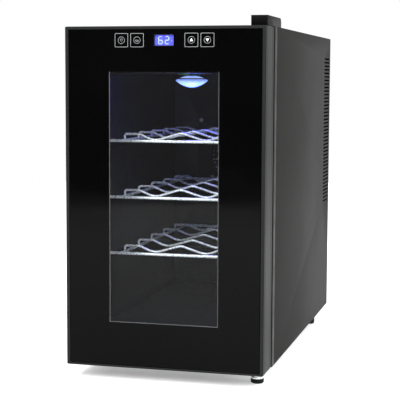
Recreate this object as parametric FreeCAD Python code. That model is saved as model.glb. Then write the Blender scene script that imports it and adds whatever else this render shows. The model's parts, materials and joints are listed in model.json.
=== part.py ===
import FreeCAD, Part
import math
import os

from FreeCAD import Vector

# Wine cooler: a small free-standing thermoelectric cabinet for bottles that lie on wire shelves.
# Millimetres. X is to the right, Y to the back, Z up. The origin is on the floor, under the
# middle of the whole object. The door is at the front and turns on two pins at its right side.

# ---- Overall sizes -------------------------------------------------------------------------
width = 252.0
depth = 511.0
body_height = 423.0
floor_clearance = 17.5
hinge_cover_height = 12.0
door_thickness = 47.0
seal_gap = 7.0

half_width = width / 2
front_y = -depth / 2
rear_y = depth / 2
door_back = front_y + door_thickness
cabinet_front = door_back + seal_gap
bottom_z = floor_clearance
top_z = bottom_z + body_height

# ---- Cabinet: steel wrap, front bezel, base and rear -----------------------------------------
sheet = 0.8
shell_corner = 4.0
bezel_depth = 13.5
bezel_wall = 2.5
bezel_skirt = 2.0
strike_thickness = 0.8
strike_width = 13.0
base_sheet = 1.0
base_flange = 12.0
rear_flange = 12.0
rear_recess = 3.8
rear_space = 65.2
shell_front = cabinet_front + bezel_depth
shell_inside = half_width - sheet
shell_roof = top_z - sheet
base_top = bottom_z + base_sheet
flange_back = rear_y - rear_recess
flange_front = flange_back - sheet
rear_cover_back = flange_back + sheet
plate_back = rear_y - rear_space - rear_recess
plate_front = plate_back - sheet

vent_height = 2.5
vent_pitch = 5.5
vent_length = 50.0
vent_rear_margin = 8.0
vent_above_base = 171.0
vent_below_top = 30.0

# ---- Cavity and its moulded liner ------------------------------------------------------------
side_insulation = 30.0
floor_insulation = 45.0
roof_insulation = 57.0
rear_insulation = 50.2
liner_wall = 2.0
cavity_corner = 8.0
ledge_width = 8.0
ledge_height = 6.0
ledge_front_gap = 5.0
ledge_play = 0.2
cavity_half = half_width - side_insulation
cavity_floor = bottom_z + floor_insulation
cavity_roof = top_z - roof_insulation
cavity_back = plate_front - rear_insulation

# ---- Wire shelves ------------------------------------------------------------------------------
lowest_shelf_height = 90.0
highest_shelf_drop = 86.0
shelf_count = 3
bar_radius = 2.0
rail_radius = 1.9
cradle_radius = 1.5
bar_side_gap = 3.0
shelf_front_gap = 11.0
shelf_back_gap = 11.0
rail_inset = 18.0
cradle_offset = 15.0
cradle_pitch = 60.0
bottle_half_spacing = 35.0
valley_drop = -0.4
plateau_rise = 8.1
peak_rise = 10.2
valley_bend = 24.0
peak_bend = 12.0
plateau_bend = 10.0
end_bend = 3.0
largest_bend_share = 0.45

bar_half = cavity_half - bar_side_gap
rail_x = bar_half - rail_inset
shelf_front = cabinet_front + shelf_front_gap
shelf_back = cavity_back - shelf_back_gap
lowest_shelf = cavity_floor + lowest_shelf_height
highest_shelf = cavity_roof - highest_shelf_drop
shelf_pitch = (highest_shelf - lowest_shelf) / (shelf_count - 1)
shelf_levels = [lowest_shelf + shelf_pitch * i for i in range(shelf_count)]

# ---- Thermoelectric cooling unit ----------------------------------------------------------------
cooler_drop = 179.0
pocket_half = 47.0
pocket_depth = 27.0
block_half = 20.0
block_clearance = 0.5
cold_base_half = 44.0
cold_base_thickness = 4.0
cold_fin_height = 11.0
cold_fin_count = 15
cold_fin_thickness = 1.2
peltier_thickness = 4.0
hot_base_half = 55.0
hot_base_thickness = 5.0
hot_fin_height = 27.5
hot_fin_count = 17
hot_fin_thickness = 1.6
sink_gap = 1.0
clamp_spacing = 16.0
clamp_radius = 2.0
clamp_head_radius = 3.6
clamp_head_height = 3.0
clamp_head_room = 1.0
cooler_z = top_z - cooler_drop
pocket_back = cavity_back + pocket_depth
block_back = plate_back - peltier_thickness

cold_fan_half = 40.0
cold_fan_thickness = 10.0
cold_fan_wall = 2.5
cold_hub = 14.0
hot_fan_half = 55.0
hot_fan_thickness = 25.0
hot_fan_wall = 3.0
hot_hub = 20.0
fan_corner = 4.0
fan_hole_inset = 5.0
fan_hole = 2.2
fan_screw = 1.7
fan_screw_head = 3.2
fan_screw_head_height = 1.6
strut_width = 4.0
strut_thickness = 2.5
bearing_radius = 4.0
shaft_radius = 1.5
shaft_clearance = 0.05
shaft_engagement = 4.0
tip_clearance = 1.5
blade_count = 7
blade_thickness = 1.4
blade_angle = 38.0
hub_wall = 1.8
hub_axial_gap = 1.0
strut_overlap = 1.0
shaft_end_gap = 1.0
cold_bore = cold_fan_half - cold_fan_wall
hot_bore = hot_fan_half - hot_fan_wall

air_cover_thickness = 2.0
air_cover_half = 58.0
air_slot = 3.0
air_slot_pitch = 6.0
cover_screw_inset = 5.0
cover_screw = 1.6
cover_screw_head = 3.0
cover_screw_head_height = 1.5
cover_screw_grip = 6.0

# ---- Power board, mains inlet and rear cover ------------------------------------------------------
board_half = 68.0
board_height = 90.0
board_above_base = 14.0
board_thickness = 1.6
standoff_length = 8.0
standoff_radius = 3.0
standoff_inset = 6.0
transformer_size = (44.0, 28.0, 36.0)
transformer_corner = 3.0
capacitor_radius = 9.0
capacitor_length = 30.0
capacitor_pitch = 24.0
inlet_x = -84.0
inlet_above_base = 40.0
inlet_flange_half = (15.5, 24.5)
inlet_flange_thickness = 2.4
inlet_body_half = (11.0, 14.5)
inlet_body_depth = 26.0
inlet_mouth_half = (8.25, 12.25)
inlet_mouth_depth = 17.0
inlet_chamfer = 4.0
inlet_blade = (1.0, 14.0, 4.0)
inlet_blade_pitch = 7.0
inlet_blade_rise = 2.0
inlet_blade_root = 4.0
rear_cover_gap = 1.0
rear_slot = 3.0
rear_slot_pitch = 7.0
rear_slot_half = 60.0
rear_slot_rows = 7
rear_slot_edge = 34.0
rear_grille_radius = 50.0
rear_screw_radius = 1.8
rear_screw_head = 3.6
rear_screw_head_height = 1.8
rear_screw_grip = 6.0

# ---- Lamp and sensor --------------------------------------------------------------------------
lamp_setback = 79.0
lamp_radius = 21.5
lamp_skirt = 6.0
lamp_drop = 19.0
lens_wall = 1.6
lamp_board_radius = 17.0
lamp_board_thickness = 1.6
led_size = 3.5
led_height = 1.4
led_ring = 9.0
led_count = 6
sensor_size = (5.0, 22.0, 9.0)
sensor_back_gap = 30.0
sensor_roof_gap = 40.0
sensor_tip = 2.5
sensor_tip_length = 8.0

# ---- Door -----------------------------------------------------------------------------------------
door_play = 0.8
glass_thickness = 4.0
rim_side = 4.4
rim_top = 3.8
rim_bottom = 2.7
frame_wall = 3.0
glass_flange = 6.0
glass_flange_thickness = 2.0
window_side = 56.7
window_bottom = 56.7
window_top = 55.7
spacer_set_back = 12.0
spacer_width = 6.0
spacer_thickness = 12.0
inner_glass_thickness = 3.0
panel_thickness = 2.5
panel_window_offset = 15.5
panel_flange = 2.0
gasket_inset = 14.0
gasket_width = 11.0
gasket_clearance = 0.1
magnet_width = 6.0
magnet_depth = 3.0
magnet_end_gap = 4.0

display_half = (12.7, 7.05)
display_below_top = 17.8
display_depth = 8.4
display_bezel = 1.2
key_centres = (-53.8, -34.0, 34.0, 53.8)
key_pad_radius = 6.0
key_pad_wall = 1.0
control_board_margin = 12.0
control_board_half_height = 8.0
control_board_thickness = 1.6
electronics_clearance = 1.0

door_bottom = bottom_z + door_play
door_top = top_z - door_play
glass_half = half_width - rim_side
glass_bottom = door_bottom + rim_bottom
glass_top = door_top - rim_top
glass_back = front_y + glass_thickness
window_half = half_width - window_side
window_low = bottom_z + window_bottom
window_high = top_z - window_top
spacer_back = glass_back + spacer_thickness
inner_glass_back = spacer_back + inner_glass_thickness
panel_front = door_back - panel_thickness
display_z = top_z - display_below_top
control_board_front = glass_back + display_depth
control_board_back = control_board_front + control_board_thickness

# ---- Hinges and feet -----------------------------------------------------------------------------
pivot_inset = 13.0
pivot_from_door_back = 22.0
pin_radius = 3.0
pin_clearance = 0.05
pin_length = 13.0
pin_head = 4.5
pin_head_height = 1.5
bush_wall = 3.0
bush_gap = 1.0
hinge_plate = 3.0
hinge_plate_edge = 1.8
hinge_plate_nose = 8.5
hinge_plate_reach = 74.5
plate_corner = 2.0
collar_play = 0.05
hinge_screw = 2.0
hinge_screw_head = 3.8
hinge_screw_head_height = 2.0
hinge_screw_grip = 9.0
hinge_screw_setback = (58.0, 70.0)
cover_wall = 1.4
cover_fit = 0.3
cover_side = 20.0
cover_inset = 2.0
cover_nose = 8.5
cover_reach = 78.0
cover_rear_corner = 6.0
lower_plate_half = 12.0
lower_wing = 28.0
lower_tongue_reach = 1.0
lower_reach = 50.0
lower_screw_offsets = (-26.0, 4.0)
rear_foot_radius = 7.5
foot_chamfer = 1.5
pad_height = 9.0
front_pad_radius = 8.3
foot_flange_thickness = 2.0
foot_flange_radius = 8.0
stud_radius = 4.0
stud_clearance = 0.05
stud_seat = 5.0
nut_across = 13.0
right_foot_offset = 18.0
right_foot_inset = 16.0
left_foot_inset = 21.0
left_foot_setback = 36.5
left_stud_room = 6.0
stud_end_gap = 1.0
stud_foam_gap = 1.0
rear_foot_inset = 14.0
rear_foot_margin = 83.5

cover_right = half_width - cover_inset
cover_left = cover_right - cover_side
pivot_x = half_width - pivot_inset
pivot_y = door_back - pivot_from_door_back
bush_bore = pin_radius + pin_clearance
bush_radius = bush_bore + bush_wall
foot_top = pad_height + foot_flange_thickness
lower_plate_bottom = bottom_z - hinge_plate
right_foot = (half_width - right_foot_inset, pivot_y + right_foot_offset)
left_foot = (left_foot_inset - half_width, cabinet_front + left_foot_setback)
rear_feet_y = rear_y - rear_foot_margin


def block(x0, x1, y0, y1, z0, z1):
    return Part.makeBox(x1 - x0, y1 - y0, z1 - z0, Vector(x0, y0, z0))


def wide_block(half, y0, y1, z0, z1):
    return block(-half, half, y0, y1, z0, z1)


def rod(radius, start, end):
    """A round bar between two points."""
    along = Vector(*end) - Vector(*start)
    return Part.makeCylinder(radius, along.Length, Vector(*start), along)


def fuse_all(shapes):
    first, *others = shapes
    return first.multiFuse(others).removeSplitter() if others else first


def largest(shape):
    """The main solid of a cut that may leave slivers in the corners."""
    return max(shape.Solids, key=lambda solid: solid.Volume)


def edges_along(shape, axis):
    """The straight edges of a shape that run along one axis."""
    found = []
    for edge in shape.Edges:
        start, end = edge.firstVertex().Point, edge.lastVertex().Point
        run = end - start
        if run.Length > 1e-6 and abs(abs(run.dot(axis)) - run.Length) < 1e-6:
            found.append(edge)
    return found


def rounded(shape, radius, axis):
    return shape.makeFillet(radius, edges_along(shape, axis))


def edges_at(shape, axis, place):
    """The edges whose points all lie at one place along an axis."""
    return [
        edge
        for edge in shape.Edges
        if all(abs(v.Point.dot(axis) - place) < 1e-6 for v in edge.Vertexes)
    ]


X_AXIS = Vector(1, 0, 0)
Y_AXIS = Vector(0, 1, 0)
Z_AXIS = Vector(0, 0, 1)


def window_ring(outer_half, outer_low, outer_high, inset, y0, y1):
    """A flat rectangular ring that stands upright, of the same width all round."""
    outer = wide_block(outer_half, y0, y1, outer_low, outer_high)
    inner = wide_block(outer_half - inset, y0, y1, outer_low + inset, outer_high - inset)
    return outer.cut(inner)


# ---- Cabinet ---------------------------------------------------------------------------------------
def cavity_block(grow, y0, y1):
    """The cavity's rounded section, grown outwards, between two depths."""
    shape = wide_block(cavity_half + grow, y0, y1, cavity_floor - grow, cavity_roof + grow)
    return rounded(shape, cavity_corner + grow, Y_AXIS)


def pocket_block(grow, y0, y1):
    return wide_block(pocket_half + grow, y0, y1, cooler_z - pocket_half - grow,
                      cooler_z + pocket_half + grow)


def make_shell():
    """A steel sheet bent over both sides and the top, with a set-back flange at the rear."""
    outer = wide_block(half_width, shell_front, rear_y, bottom_z, top_z)
    top_edges = [e for e in edges_along(outer, X_AXIS) if e.BoundBox.ZMin > top_z - 1]
    rear_top = [e for e in top_edges if e.BoundBox.YMin > rear_y - 1]
    outer = outer.makeFillet(shell_corner, rear_top)
    inner = wide_block(shell_inside, shell_front, rear_y, bottom_z, shell_roof)
    flange = wide_block(shell_inside, flange_front, flange_back, bottom_z, shell_roof)
    flange_opening = wide_block(shell_inside - rear_flange, flange_front, flange_back,
                                bottom_z, shell_roof - rear_flange)
    shell = fuse_all([outer.cut(inner), flange.cut(flange_opening)])
    vent_back = rear_y - vent_rear_margin
    vent_low = bottom_z + vent_above_base
    vent_room = top_z - vent_below_top - vent_low
    vents = []
    for i in range(int(vent_room / vent_pitch) + 1):
        z = vent_low + i * vent_pitch
        vents.append(wide_block(half_width, vent_back - vent_length, vent_back,
                                z - vent_height / 2, z + vent_height / 2))
    return shell.cut(vents)


def make_bezel():
    """The moulded frame that closes the front of the walls round the cavity."""
    face = wide_block(half_width, cabinet_front, shell_front, bottom_z, top_z)
    behind = wide_block(half_width - bezel_skirt, cabinet_front + bezel_wall, shell_front,
                        bottom_z + bezel_skirt, top_z - bezel_skirt)
    return face.cut(behind).cut(cavity_block(liner_wall, cabinet_front, shell_front))


def make_strike_frame():
    """The steel ring behind the bezel that the gasket's magnets pull on."""
    strike_front = cabinet_front + bezel_wall
    half = half_width - gasket_inset
    low = door_bottom + gasket_inset
    high = door_top - gasket_inset
    ring = window_ring(half, low, high, strike_width, strike_front, strike_front + strike_thickness)
    return ring


def make_liner():
    """The moulded tub with ledges for the shelves and a pocket for the cooling unit."""
    tub = cavity_block(liner_wall, cabinet_front, cavity_back + liner_wall)
    tub = tub.cut(cavity_block(0, cabinet_front, cavity_back))
    pocket = pocket_block(liner_wall, cavity_back + liner_wall, pocket_back + liner_wall)
    tub = fuse_all([tub, pocket]).cut(pocket_block(0, cavity_back, pocket_back))
    hole = block_half + block_clearance
    tub = tub.cut(wide_block(hole, pocket_back, pocket_back + liner_wall,
                             cooler_z - hole, cooler_z + hole))
    ledges = []
    for level in shelf_levels:
        ledge_top = level - bar_radius - ledge_play
        for side in (-1, 1):
            inner, outer = sorted((side * (cavity_half - ledge_width), side * cavity_half))
            ledges.append(block(inner, outer, cabinet_front + ledge_front_gap, cavity_back,
                                ledge_top - ledge_height, ledge_top))
    return fuse_all([tub] + ledges).cut(liner_screw_shafts() + clamp_shafts())


def make_base_pan():
    floor = wide_block(shell_inside, shell_front, flange_front, bottom_z, base_top)
    flanges = wide_block(shell_inside, shell_front, flange_front, base_top, base_top + base_flange)
    middle = wide_block(shell_inside - base_sheet, shell_front, flange_front, base_top,
                        base_top + base_flange)
    pan = fuse_all([floor, flanges.cut(middle)])
    foot_x, foot_y = left_foot
    return pan.cut([rod(stud_radius + stud_clearance, (foot_x, foot_y, bottom_z),
                        (foot_x, foot_y, base_top))] + lower_screw_shafts())


def make_back_plate():
    """The steel plate that closes the foam towards the rear space."""
    plate = wide_block(shell_inside - base_sheet, plate_front, plate_back, base_top, shell_roof)
    hole = block_half + block_clearance
    opening = wide_block(hole, plate_front, plate_back, cooler_z - hole, cooler_z + hole)
    return plate.cut([opening] + clamp_shafts())


def make_cabinet_foam(neighbours):
    """Rigid foam that fills all the room between the liner and the outer walls."""
    fill = wide_block(half_width, cabinet_front, plate_front, bottom_z, top_z)
    hollow = [
        cavity_block(liner_wall, cabinet_front, cavity_back + liner_wall),
        pocket_block(liner_wall, cavity_back + liner_wall, pocket_back + liner_wall),
        wide_block(block_half + block_clearance, pocket_back, plate_front,
                   cooler_z - block_half - block_clearance, cooler_z + block_half + block_clearance),
        rod(stud_radius + stud_foam_gap, (*left_foot, bottom_z), (*left_foot, base_top + left_stud_room)),
    ]
    shafts = liner_screw_shafts() + upper_screw_shafts() + lower_screw_shafts() + clamp_shafts()
    return largest(fill.cut(hollow + neighbours + shafts))


# ---- Screws, each as a head and a plain shank ------------------------------------------------------
def grid(half_x, half_z):
    return [(sx * half_x, sz * half_z) for sx in (-1, 1) for sz in (-1, 1)]


def liner_screw_places():
    at = air_cover_half - cover_screw_inset
    return [(x, cooler_z + z) for x, z in grid(at, at)]


def liner_screw_shafts():
    front = cavity_back - air_cover_thickness
    return [rod(cover_screw, (x, front, z), (x, cavity_back + cover_screw_grip, z))
            for x, z in liner_screw_places()]


def make_air_cover_screws():
    front = cavity_back - air_cover_thickness
    heads = [rod(cover_screw_head, (x, front - cover_screw_head_height, z), (x, front, z))
             for x, z in liner_screw_places()]
    return [head.fuse(shaft) for head, shaft in zip(heads, liner_screw_shafts())]


def clamp_places():
    offset = block_half + clamp_spacing - clamp_radius * 2
    return [(x, cooler_z) for x in (-offset, offset)]


def clamp_shafts():
    start = pocket_back - cold_base_thickness
    return [rod(clamp_radius, (x, start, z), (x, plate_back + hot_base_thickness, z))
            for x, z in clamp_places()]


def make_clamp_screws():
    """Two long screws that pull the hot and the cold heat sinks together."""
    back = plate_back + hot_base_thickness
    heads = [rod(clamp_head_radius, (x, back, z), (x, back + clamp_head_height, z))
             for x, z in clamp_places()]
    return [head.fuse(shaft) for head, shaft in zip(heads, clamp_shafts())]


def upper_screw_shafts():
    top = top_z + hinge_plate
    return [rod(hinge_screw, (pivot_x, pivot_y + y, top - hinge_screw_grip), (pivot_x, pivot_y + y, top))
            for y in hinge_screw_setback]


def make_upper_hinge_screws():
    top = top_z + hinge_plate
    heads = [rod(hinge_screw_head, (pivot_x, pivot_y + y, top),
                 (pivot_x, pivot_y + y, top + hinge_screw_head_height))
             for y in hinge_screw_setback]
    return [head.fuse(shaft) for head, shaft in zip(heads, upper_screw_shafts())]


def lower_screw_places():
    y = pivot_y + hinge_screw_setback[0]
    return [(pivot_x + x, y) for x in lower_screw_offsets]


def lower_screw_shafts():
    return [rod(hinge_screw, (x, y, lower_plate_bottom), (x, y, lower_plate_bottom + hinge_screw_grip))
            for x, y in lower_screw_places()]


def make_lower_hinge_screws():
    low = lower_plate_bottom - hinge_screw_head_height
    heads = [rod(hinge_screw_head, (x, y, low), (x, y, lower_plate_bottom))
             for x, y in lower_screw_places()]
    return [head.fuse(shaft) for head, shaft in zip(heads, lower_screw_shafts())]


def rear_screw_places():
    x = shell_inside - rear_flange / 2
    low = bottom_z + rear_flange
    high = shell_roof - rear_flange / 2
    sides = [(side * x, z) for side in (-1, 1) for z in (low, (low + high) / 2, high)]
    return sides + [(0.0, high)]


def make_rear_screws():
    screws = []
    for x, z in rear_screw_places():
        head = rod(rear_screw_head, (x, rear_cover_back, z),
                   (x, rear_cover_back + rear_screw_head_height, z))
        shaft = rod(rear_screw_radius, (x, rear_cover_back - rear_screw_grip, z),
                    (x, rear_cover_back, z))
        screws.append(head.fuse(shaft))
    return screws


def rear_screw_holes(y0, y1):
    return [rod(rear_screw_radius, (x, y0, z), (x, y1, z)) for x, z in rear_screw_places()]


# ---- Cooling unit ---------------------------------------------------------------------------------
def finned_sink(half, base_front, base_back, fin_end, count, thickness):
    """A square plate with upright fins on one side, evenly spread."""
    low, high = cooler_z - half, cooler_z + half
    shapes = [wide_block(half, base_front, base_back, low, high)]
    y0, y1 = sorted((base_back if fin_end > base_back else base_front, fin_end))
    step = (2 * half - thickness) / (count - 1)
    for i in range(count):
        x = -half + i * step
        shapes.append(block(x, x + thickness, y0, y1, low, high))
    return fuse_all(shapes)


def make_cold_sink():
    base_front = pocket_back - cold_base_thickness
    sink = finned_sink(cold_base_half, base_front, pocket_back, base_front - cold_fin_height,
                       cold_fin_count, cold_fin_thickness)
    return sink.cut(clamp_shafts())


def make_hot_sink():
    base_back = plate_back + hot_base_thickness
    sink = finned_sink(hot_base_half, plate_back, base_back, base_back + hot_fin_height,
                       hot_fin_count, hot_fin_thickness)
    room = [rod(clamp_head_radius + clamp_head_room, (x, base_back, z), (x, base_back + hot_fin_height, z))
            for x, z in clamp_places()]
    return sink.cut(clamp_shafts() + room)


def fan_hole_places(half):
    at = half - fan_hole_inset
    return [(x, cooler_z + z) for x, z in grid(at, at)]


def make_fan_frame(half, thickness, bore, hub, front):
    """The square duct of a fan, with the motor's seat and bearing on four struts at its front."""
    back = front + thickness
    body = wide_block(half, front, back, cooler_z - half, cooler_z + half)
    body = rounded(body, fan_corner, Y_AXIS)
    body = body.cut([rod(bore, (0, front, cooler_z), (0, back, cooler_z))])
    seat = rod(hub, (0, front, cooler_z), (0, front + strut_thickness, cooler_z))
    struts = []
    for i in range(4):
        strut = block(0, bore + strut_overlap, front, front + strut_thickness, -strut_width / 2,
                      strut_width / 2)
        strut.rotate(Vector(0, 0, 0), Y_AXIS, 45 + 90 * i)
        strut.translate(Vector(0, 0, cooler_z))
        struts.append(strut)
    bearing_end = front + strut_thickness + shaft_engagement
    bearing = rod(bearing_radius, (0, front, cooler_z), (0, bearing_end, cooler_z))
    frame = fuse_all([body, seat, bearing] + struts)
    bore_shape = rod(shaft_radius + shaft_clearance, (0, front + shaft_end_gap, cooler_z),
                     (0, back, cooler_z))
    holes = [rod(fan_hole, (x, front, z), (x, back, z)) for x, z in fan_hole_places(half)]
    return frame.cut([bore_shape] + holes)


def make_rotor(thickness, bore, hub, front):
    """A cup-shaped hub with its shaft and pitched blades."""
    hub_front = front + strut_thickness + hub_axial_gap
    hub_back = front + thickness - hub_axial_gap
    cup = rod(hub, (0, hub_front, cooler_z), (0, hub_back, cooler_z))
    hollow = rod(hub - hub_wall, (0, hub_front, cooler_z), (0, hub_back - hub_wall, cooler_z))
    shaft = rod(shaft_radius, (0, front + strut_thickness, cooler_z), (0, hub_back, cooler_z))
    reach = bore - tip_clearance
    middle = (hub_front + hub_back) / 2
    half_chord = (hub_back - hub_front) / 2 / math.sin(math.radians(blade_angle))
    blades = []
    for i in range(blade_count):
        blade = block(hub - hub_wall / 2, reach + 2, -half_chord, half_chord,
                      -blade_thickness / 2, blade_thickness / 2)
        blade.rotate(Vector(0, 0, 0), X_AXIS, blade_angle)
        blade.rotate(Vector(0, 0, 0), Y_AXIS, 360 / blade_count * i)
        blade.translate(Vector(0, middle, cooler_z))
        blades.append(blade)
    swept = rod(reach, (0, hub_front, cooler_z), (0, hub_back, cooler_z))
    swept = swept.cut(rod(hub - hub_wall / 2, (0, hub_front, cooler_z), (0, hub_back, cooler_z)))
    trimmed = [blade.common(swept) for blade in blades]
    return fuse_all([cup.cut(hollow), shaft] + trimmed)


def make_fan_screws(half, front, back, head_front):
    """Four screws right through a fan's corners, with their heads at the front or the back."""
    screws = []
    for x, z in fan_hole_places(half):
        shaft = rod(fan_screw, (x, front, z), (x, back, z))
        if head_front:
            head = rod(fan_screw_head, (x, front - fan_screw_head_height, z), (x, front, z))
        else:
            head = rod(fan_screw_head, (x, back, z), (x, back + fan_screw_head_height, z))
        screws.append(head.fuse(shaft))
    return screws


def round_grille(radius, slot, pitch, y0, y1):
    """Level slots that together fill a circle round the fan's axis."""
    slots = []
    rows = int((radius - slot / 2) / pitch)
    for i in range(-rows, rows + 1):
        z = i * pitch
        half = math.sqrt(radius ** 2 - (abs(z) + slot / 2) ** 2)
        if half > slot:
            slots.append(wide_block(half, y0, y1, cooler_z + z - slot / 2, cooler_z + z + slot / 2))
    return slots


def make_air_cover():
    front = cavity_back - air_cover_thickness
    cover = wide_block(air_cover_half, front, cavity_back, cooler_z - air_cover_half,
                       cooler_z + air_cover_half)
    cover = rounded(cover, fan_corner, Y_AXIS)
    fan_holes = [rod(fan_screw, (x, front, z), (x, cavity_back, z))
                 for x, z in fan_hole_places(cold_fan_half)]
    grille = round_grille(cold_bore, air_slot, air_slot_pitch, front, cavity_back)
    return cover.cut(grille + fan_holes + liner_screw_shafts())


# ---- Rear cover, power board and inlet ---------------------------------------------------------------
inlet_z = bottom_z + inlet_above_base


def inlet_block(half, y0, y1, chamfer):
    """A block on the inlet's axis whose two lower corners are cut off."""
    half_x, half_z = half
    shape = block(inlet_x - half_x, inlet_x + half_x, y0, y1, inlet_z - half_z, inlet_z + half_z)
    if chamfer:
        corners = [e for e in edges_along(shape, Y_AXIS) if e.BoundBox.XMin > inlet_x]
        shape = shape.makeChamfer(chamfer, corners)
    return shape


def make_rear_cover():
    low = base_top
    cover = wide_block(shell_inside - rear_cover_gap, flange_back, rear_cover_back, low,
                       shell_roof - rear_cover_gap)
    cuts = round_grille(rear_grille_radius, rear_slot, rear_slot_pitch, flange_back, rear_cover_back)
    for i in range(rear_slot_rows):
        z = shell_roof - rear_slot_edge - i * rear_slot_pitch
        cuts.append(wide_block(rear_slot_half, flange_back, rear_cover_back,
                               z - rear_slot / 2, z + rear_slot / 2))
        z = low + rear_slot_edge + i * rear_slot_pitch
        cuts.append(wide_block(rear_slot_half, flange_back, rear_cover_back,
                               z - rear_slot / 2, z + rear_slot / 2))
    cuts.append(inlet_block(inlet_body_half, flange_back, rear_cover_back, 0))
    return cover.cut(cuts + rear_screw_holes(flange_back, rear_cover_back))


def make_inlet():
    """A three-blade appliance inlet that stands in the rear cover."""
    back = rear_cover_back + inlet_flange_thickness
    flange = inlet_block(inlet_flange_half, rear_cover_back, back, 0)
    flange = rounded(flange, 2, Y_AXIS)
    body = inlet_block(inlet_body_half, back - inlet_body_depth, rear_cover_back, 0)
    mouth = inlet_block(inlet_mouth_half, back - inlet_mouth_depth, back, inlet_chamfer)
    return fuse_all([flange, body]).cut([mouth] + inlet_blades())


def inlet_blades():
    floor = rear_cover_back + inlet_flange_thickness - inlet_mouth_depth
    length = inlet_blade[1]
    blades = []
    for i in (-1, 0, 1):
        x = inlet_x + (inlet_blade_rise if i == 0 else -inlet_blade_rise)
        z = inlet_z + i * inlet_blade_pitch
        blades.append(block(x - inlet_blade[2] / 2, x + inlet_blade[2] / 2, floor - inlet_blade_root,
                            floor + length, z - inlet_blade[0], z + inlet_blade[0]))
    return blades


board_low = base_top + board_above_base
board_front = plate_back + standoff_length
board_back = board_front + board_thickness


def make_power_board():
    return wide_block(board_half, board_front, board_back, board_low, board_low + board_height)


def make_standoffs():
    middle = board_low + board_height / 2
    return [rod(standoff_radius, (x, plate_back, middle + z), (x, board_front, middle + z))
            for x, z in grid(board_half - standoff_inset, board_height / 2 - standoff_inset)]


def make_transformer():
    wide, tall, high = transformer_size
    z = board_low + board_height / 2
    core = block(0, wide, board_back, board_back + tall, z - high / 2, z + high / 2)
    return rounded(core, transformer_corner, Y_AXIS)


def make_capacitors():
    z0 = board_low + board_height / 2 - capacitor_pitch / 2
    return [rod(capacitor_radius, (-capacitor_pitch, board_back, z0 + i * capacitor_pitch),
                (-capacitor_pitch, board_back + capacitor_length, z0 + i * capacitor_pitch))
            for i in range(2)]


# ---- Lamp and sensor --------------------------------------------------------------------------------
lamp_y = cabinet_front + lamp_setback


def dome(radius, skirt, drop):
    """A round lens: a short straight skirt that ends in a shallow cap, hanging from the roof."""
    rise = drop - skirt
    cap_radius = (radius ** 2 + rise ** 2) / (2 * rise)
    angle = math.asin(radius / cap_radius) / 2
    middle = (cap_radius * math.sin(angle), -drop + cap_radius * (1 - math.cos(angle)))
    side = Vector(radius, 0, -skirt)
    outline = [
        Part.LineSegment(Vector(0, 0, 0), Vector(radius, 0, 0)).toShape(),
        Part.LineSegment(Vector(radius, 0, 0), side).toShape(),
        Part.Arc(side, Vector(middle[0], 0, middle[1]), Vector(0, 0, -drop)).toShape(),
        Part.LineSegment(Vector(0, 0, -drop), Vector(0, 0, 0)).toShape(),
    ]
    solid = Part.Face(Part.Wire(outline)).revolve(Vector(0, 0, 0), Z_AXIS, 360)
    solid.translate(Vector(0, lamp_y, cavity_roof))
    return solid


def make_lamp_lens():
    return dome(lamp_radius, lamp_skirt, lamp_drop).cut(
        dome(lamp_radius - lens_wall, lamp_skirt, lamp_drop - lens_wall))


def make_lamp_board():
    low = cavity_roof - lamp_board_thickness
    board = rod(lamp_board_radius, (0, lamp_y, low), (0, lamp_y, cavity_roof))
    leds = []
    for i in range(led_count):
        angle = math.radians(360 / led_count * i)
        x = led_ring * math.cos(angle)
        y = lamp_y + led_ring * math.sin(angle)
        leds.append(block(x - led_size / 2, x + led_size / 2, y - led_size / 2, y + led_size / 2,
                          low - led_height, low))
    return fuse_all([board] + leds)


def make_sensor():
    """The temperature probe in its clip on the right-hand wall."""
    thick, long, tall = sensor_size
    y = cavity_back - sensor_back_gap
    z = cavity_roof - sensor_roof_gap
    clip = block(cavity_half - thick, cavity_half, y - long, y, z - tall / 2, z + tall / 2)
    clip = rounded(clip, 1, X_AXIS)
    tip = rod(sensor_tip, (cavity_half - thick / 2, y - long - sensor_tip_length, z),
              (cavity_half - thick / 2, y - long, z))
    return clip.fuse(tip)


# ---- Shelves ------------------------------------------------------------------------------------------
def bent_wire(corners, radius):
    """A round wire along straight runs, each corner (x, z, bend) rounded as far as its runs allow."""
    points = [Vector(x, 0, z) for x, z, _ in corners]
    edges, start = [], points[0]
    for i in range(1, len(points) - 1):
        before = (points[i - 1] - points[i]).normalize()
        after = (points[i + 1] - points[i]).normalize()
        half_angle = before.getAngle(after) / 2
        shorter = min((points[i - 1] - points[i]).Length, (points[i + 1] - points[i]).Length)
        bend = min(corners[i][2], largest_bend_share * shorter * math.tan(half_angle))
        reach = bend / math.tan(half_angle)
        leave = points[i] + before * reach
        join = points[i] + after * reach
        inward = (before + after).normalize()
        middle = points[i] + inward * (bend / math.sin(half_angle) - bend)
        edges.append(Part.LineSegment(start, leave).toShape())
        edges.append(Part.Arc(leave, middle, join).toShape())
        start = join
    edges.append(Part.LineSegment(start, points[-1]).toShape())
    path = Part.Wire(edges)
    direction = points[1] - points[0]
    section = Part.Wire(Part.makeCircle(radius, points[0], direction))
    return path.makePipeShell([section], True, False)


def cradle_corners(level):
    """The wave of a cradle wire, from its left end to its right end."""
    plateau_x = (bottle_half_spacing + rail_x) / 2
    right = [
        (bottle_half_spacing, level + valley_drop, valley_bend),
        (plateau_x, level + plateau_rise, plateau_bend),
        (rail_x, level + plateau_rise, end_bend),
        (rail_x, level, 0),
    ]
    left = [(-x, z, bend) for x, z, bend in reversed(right)]
    return left + [(0, level + peak_rise, peak_bend)] + right


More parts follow.
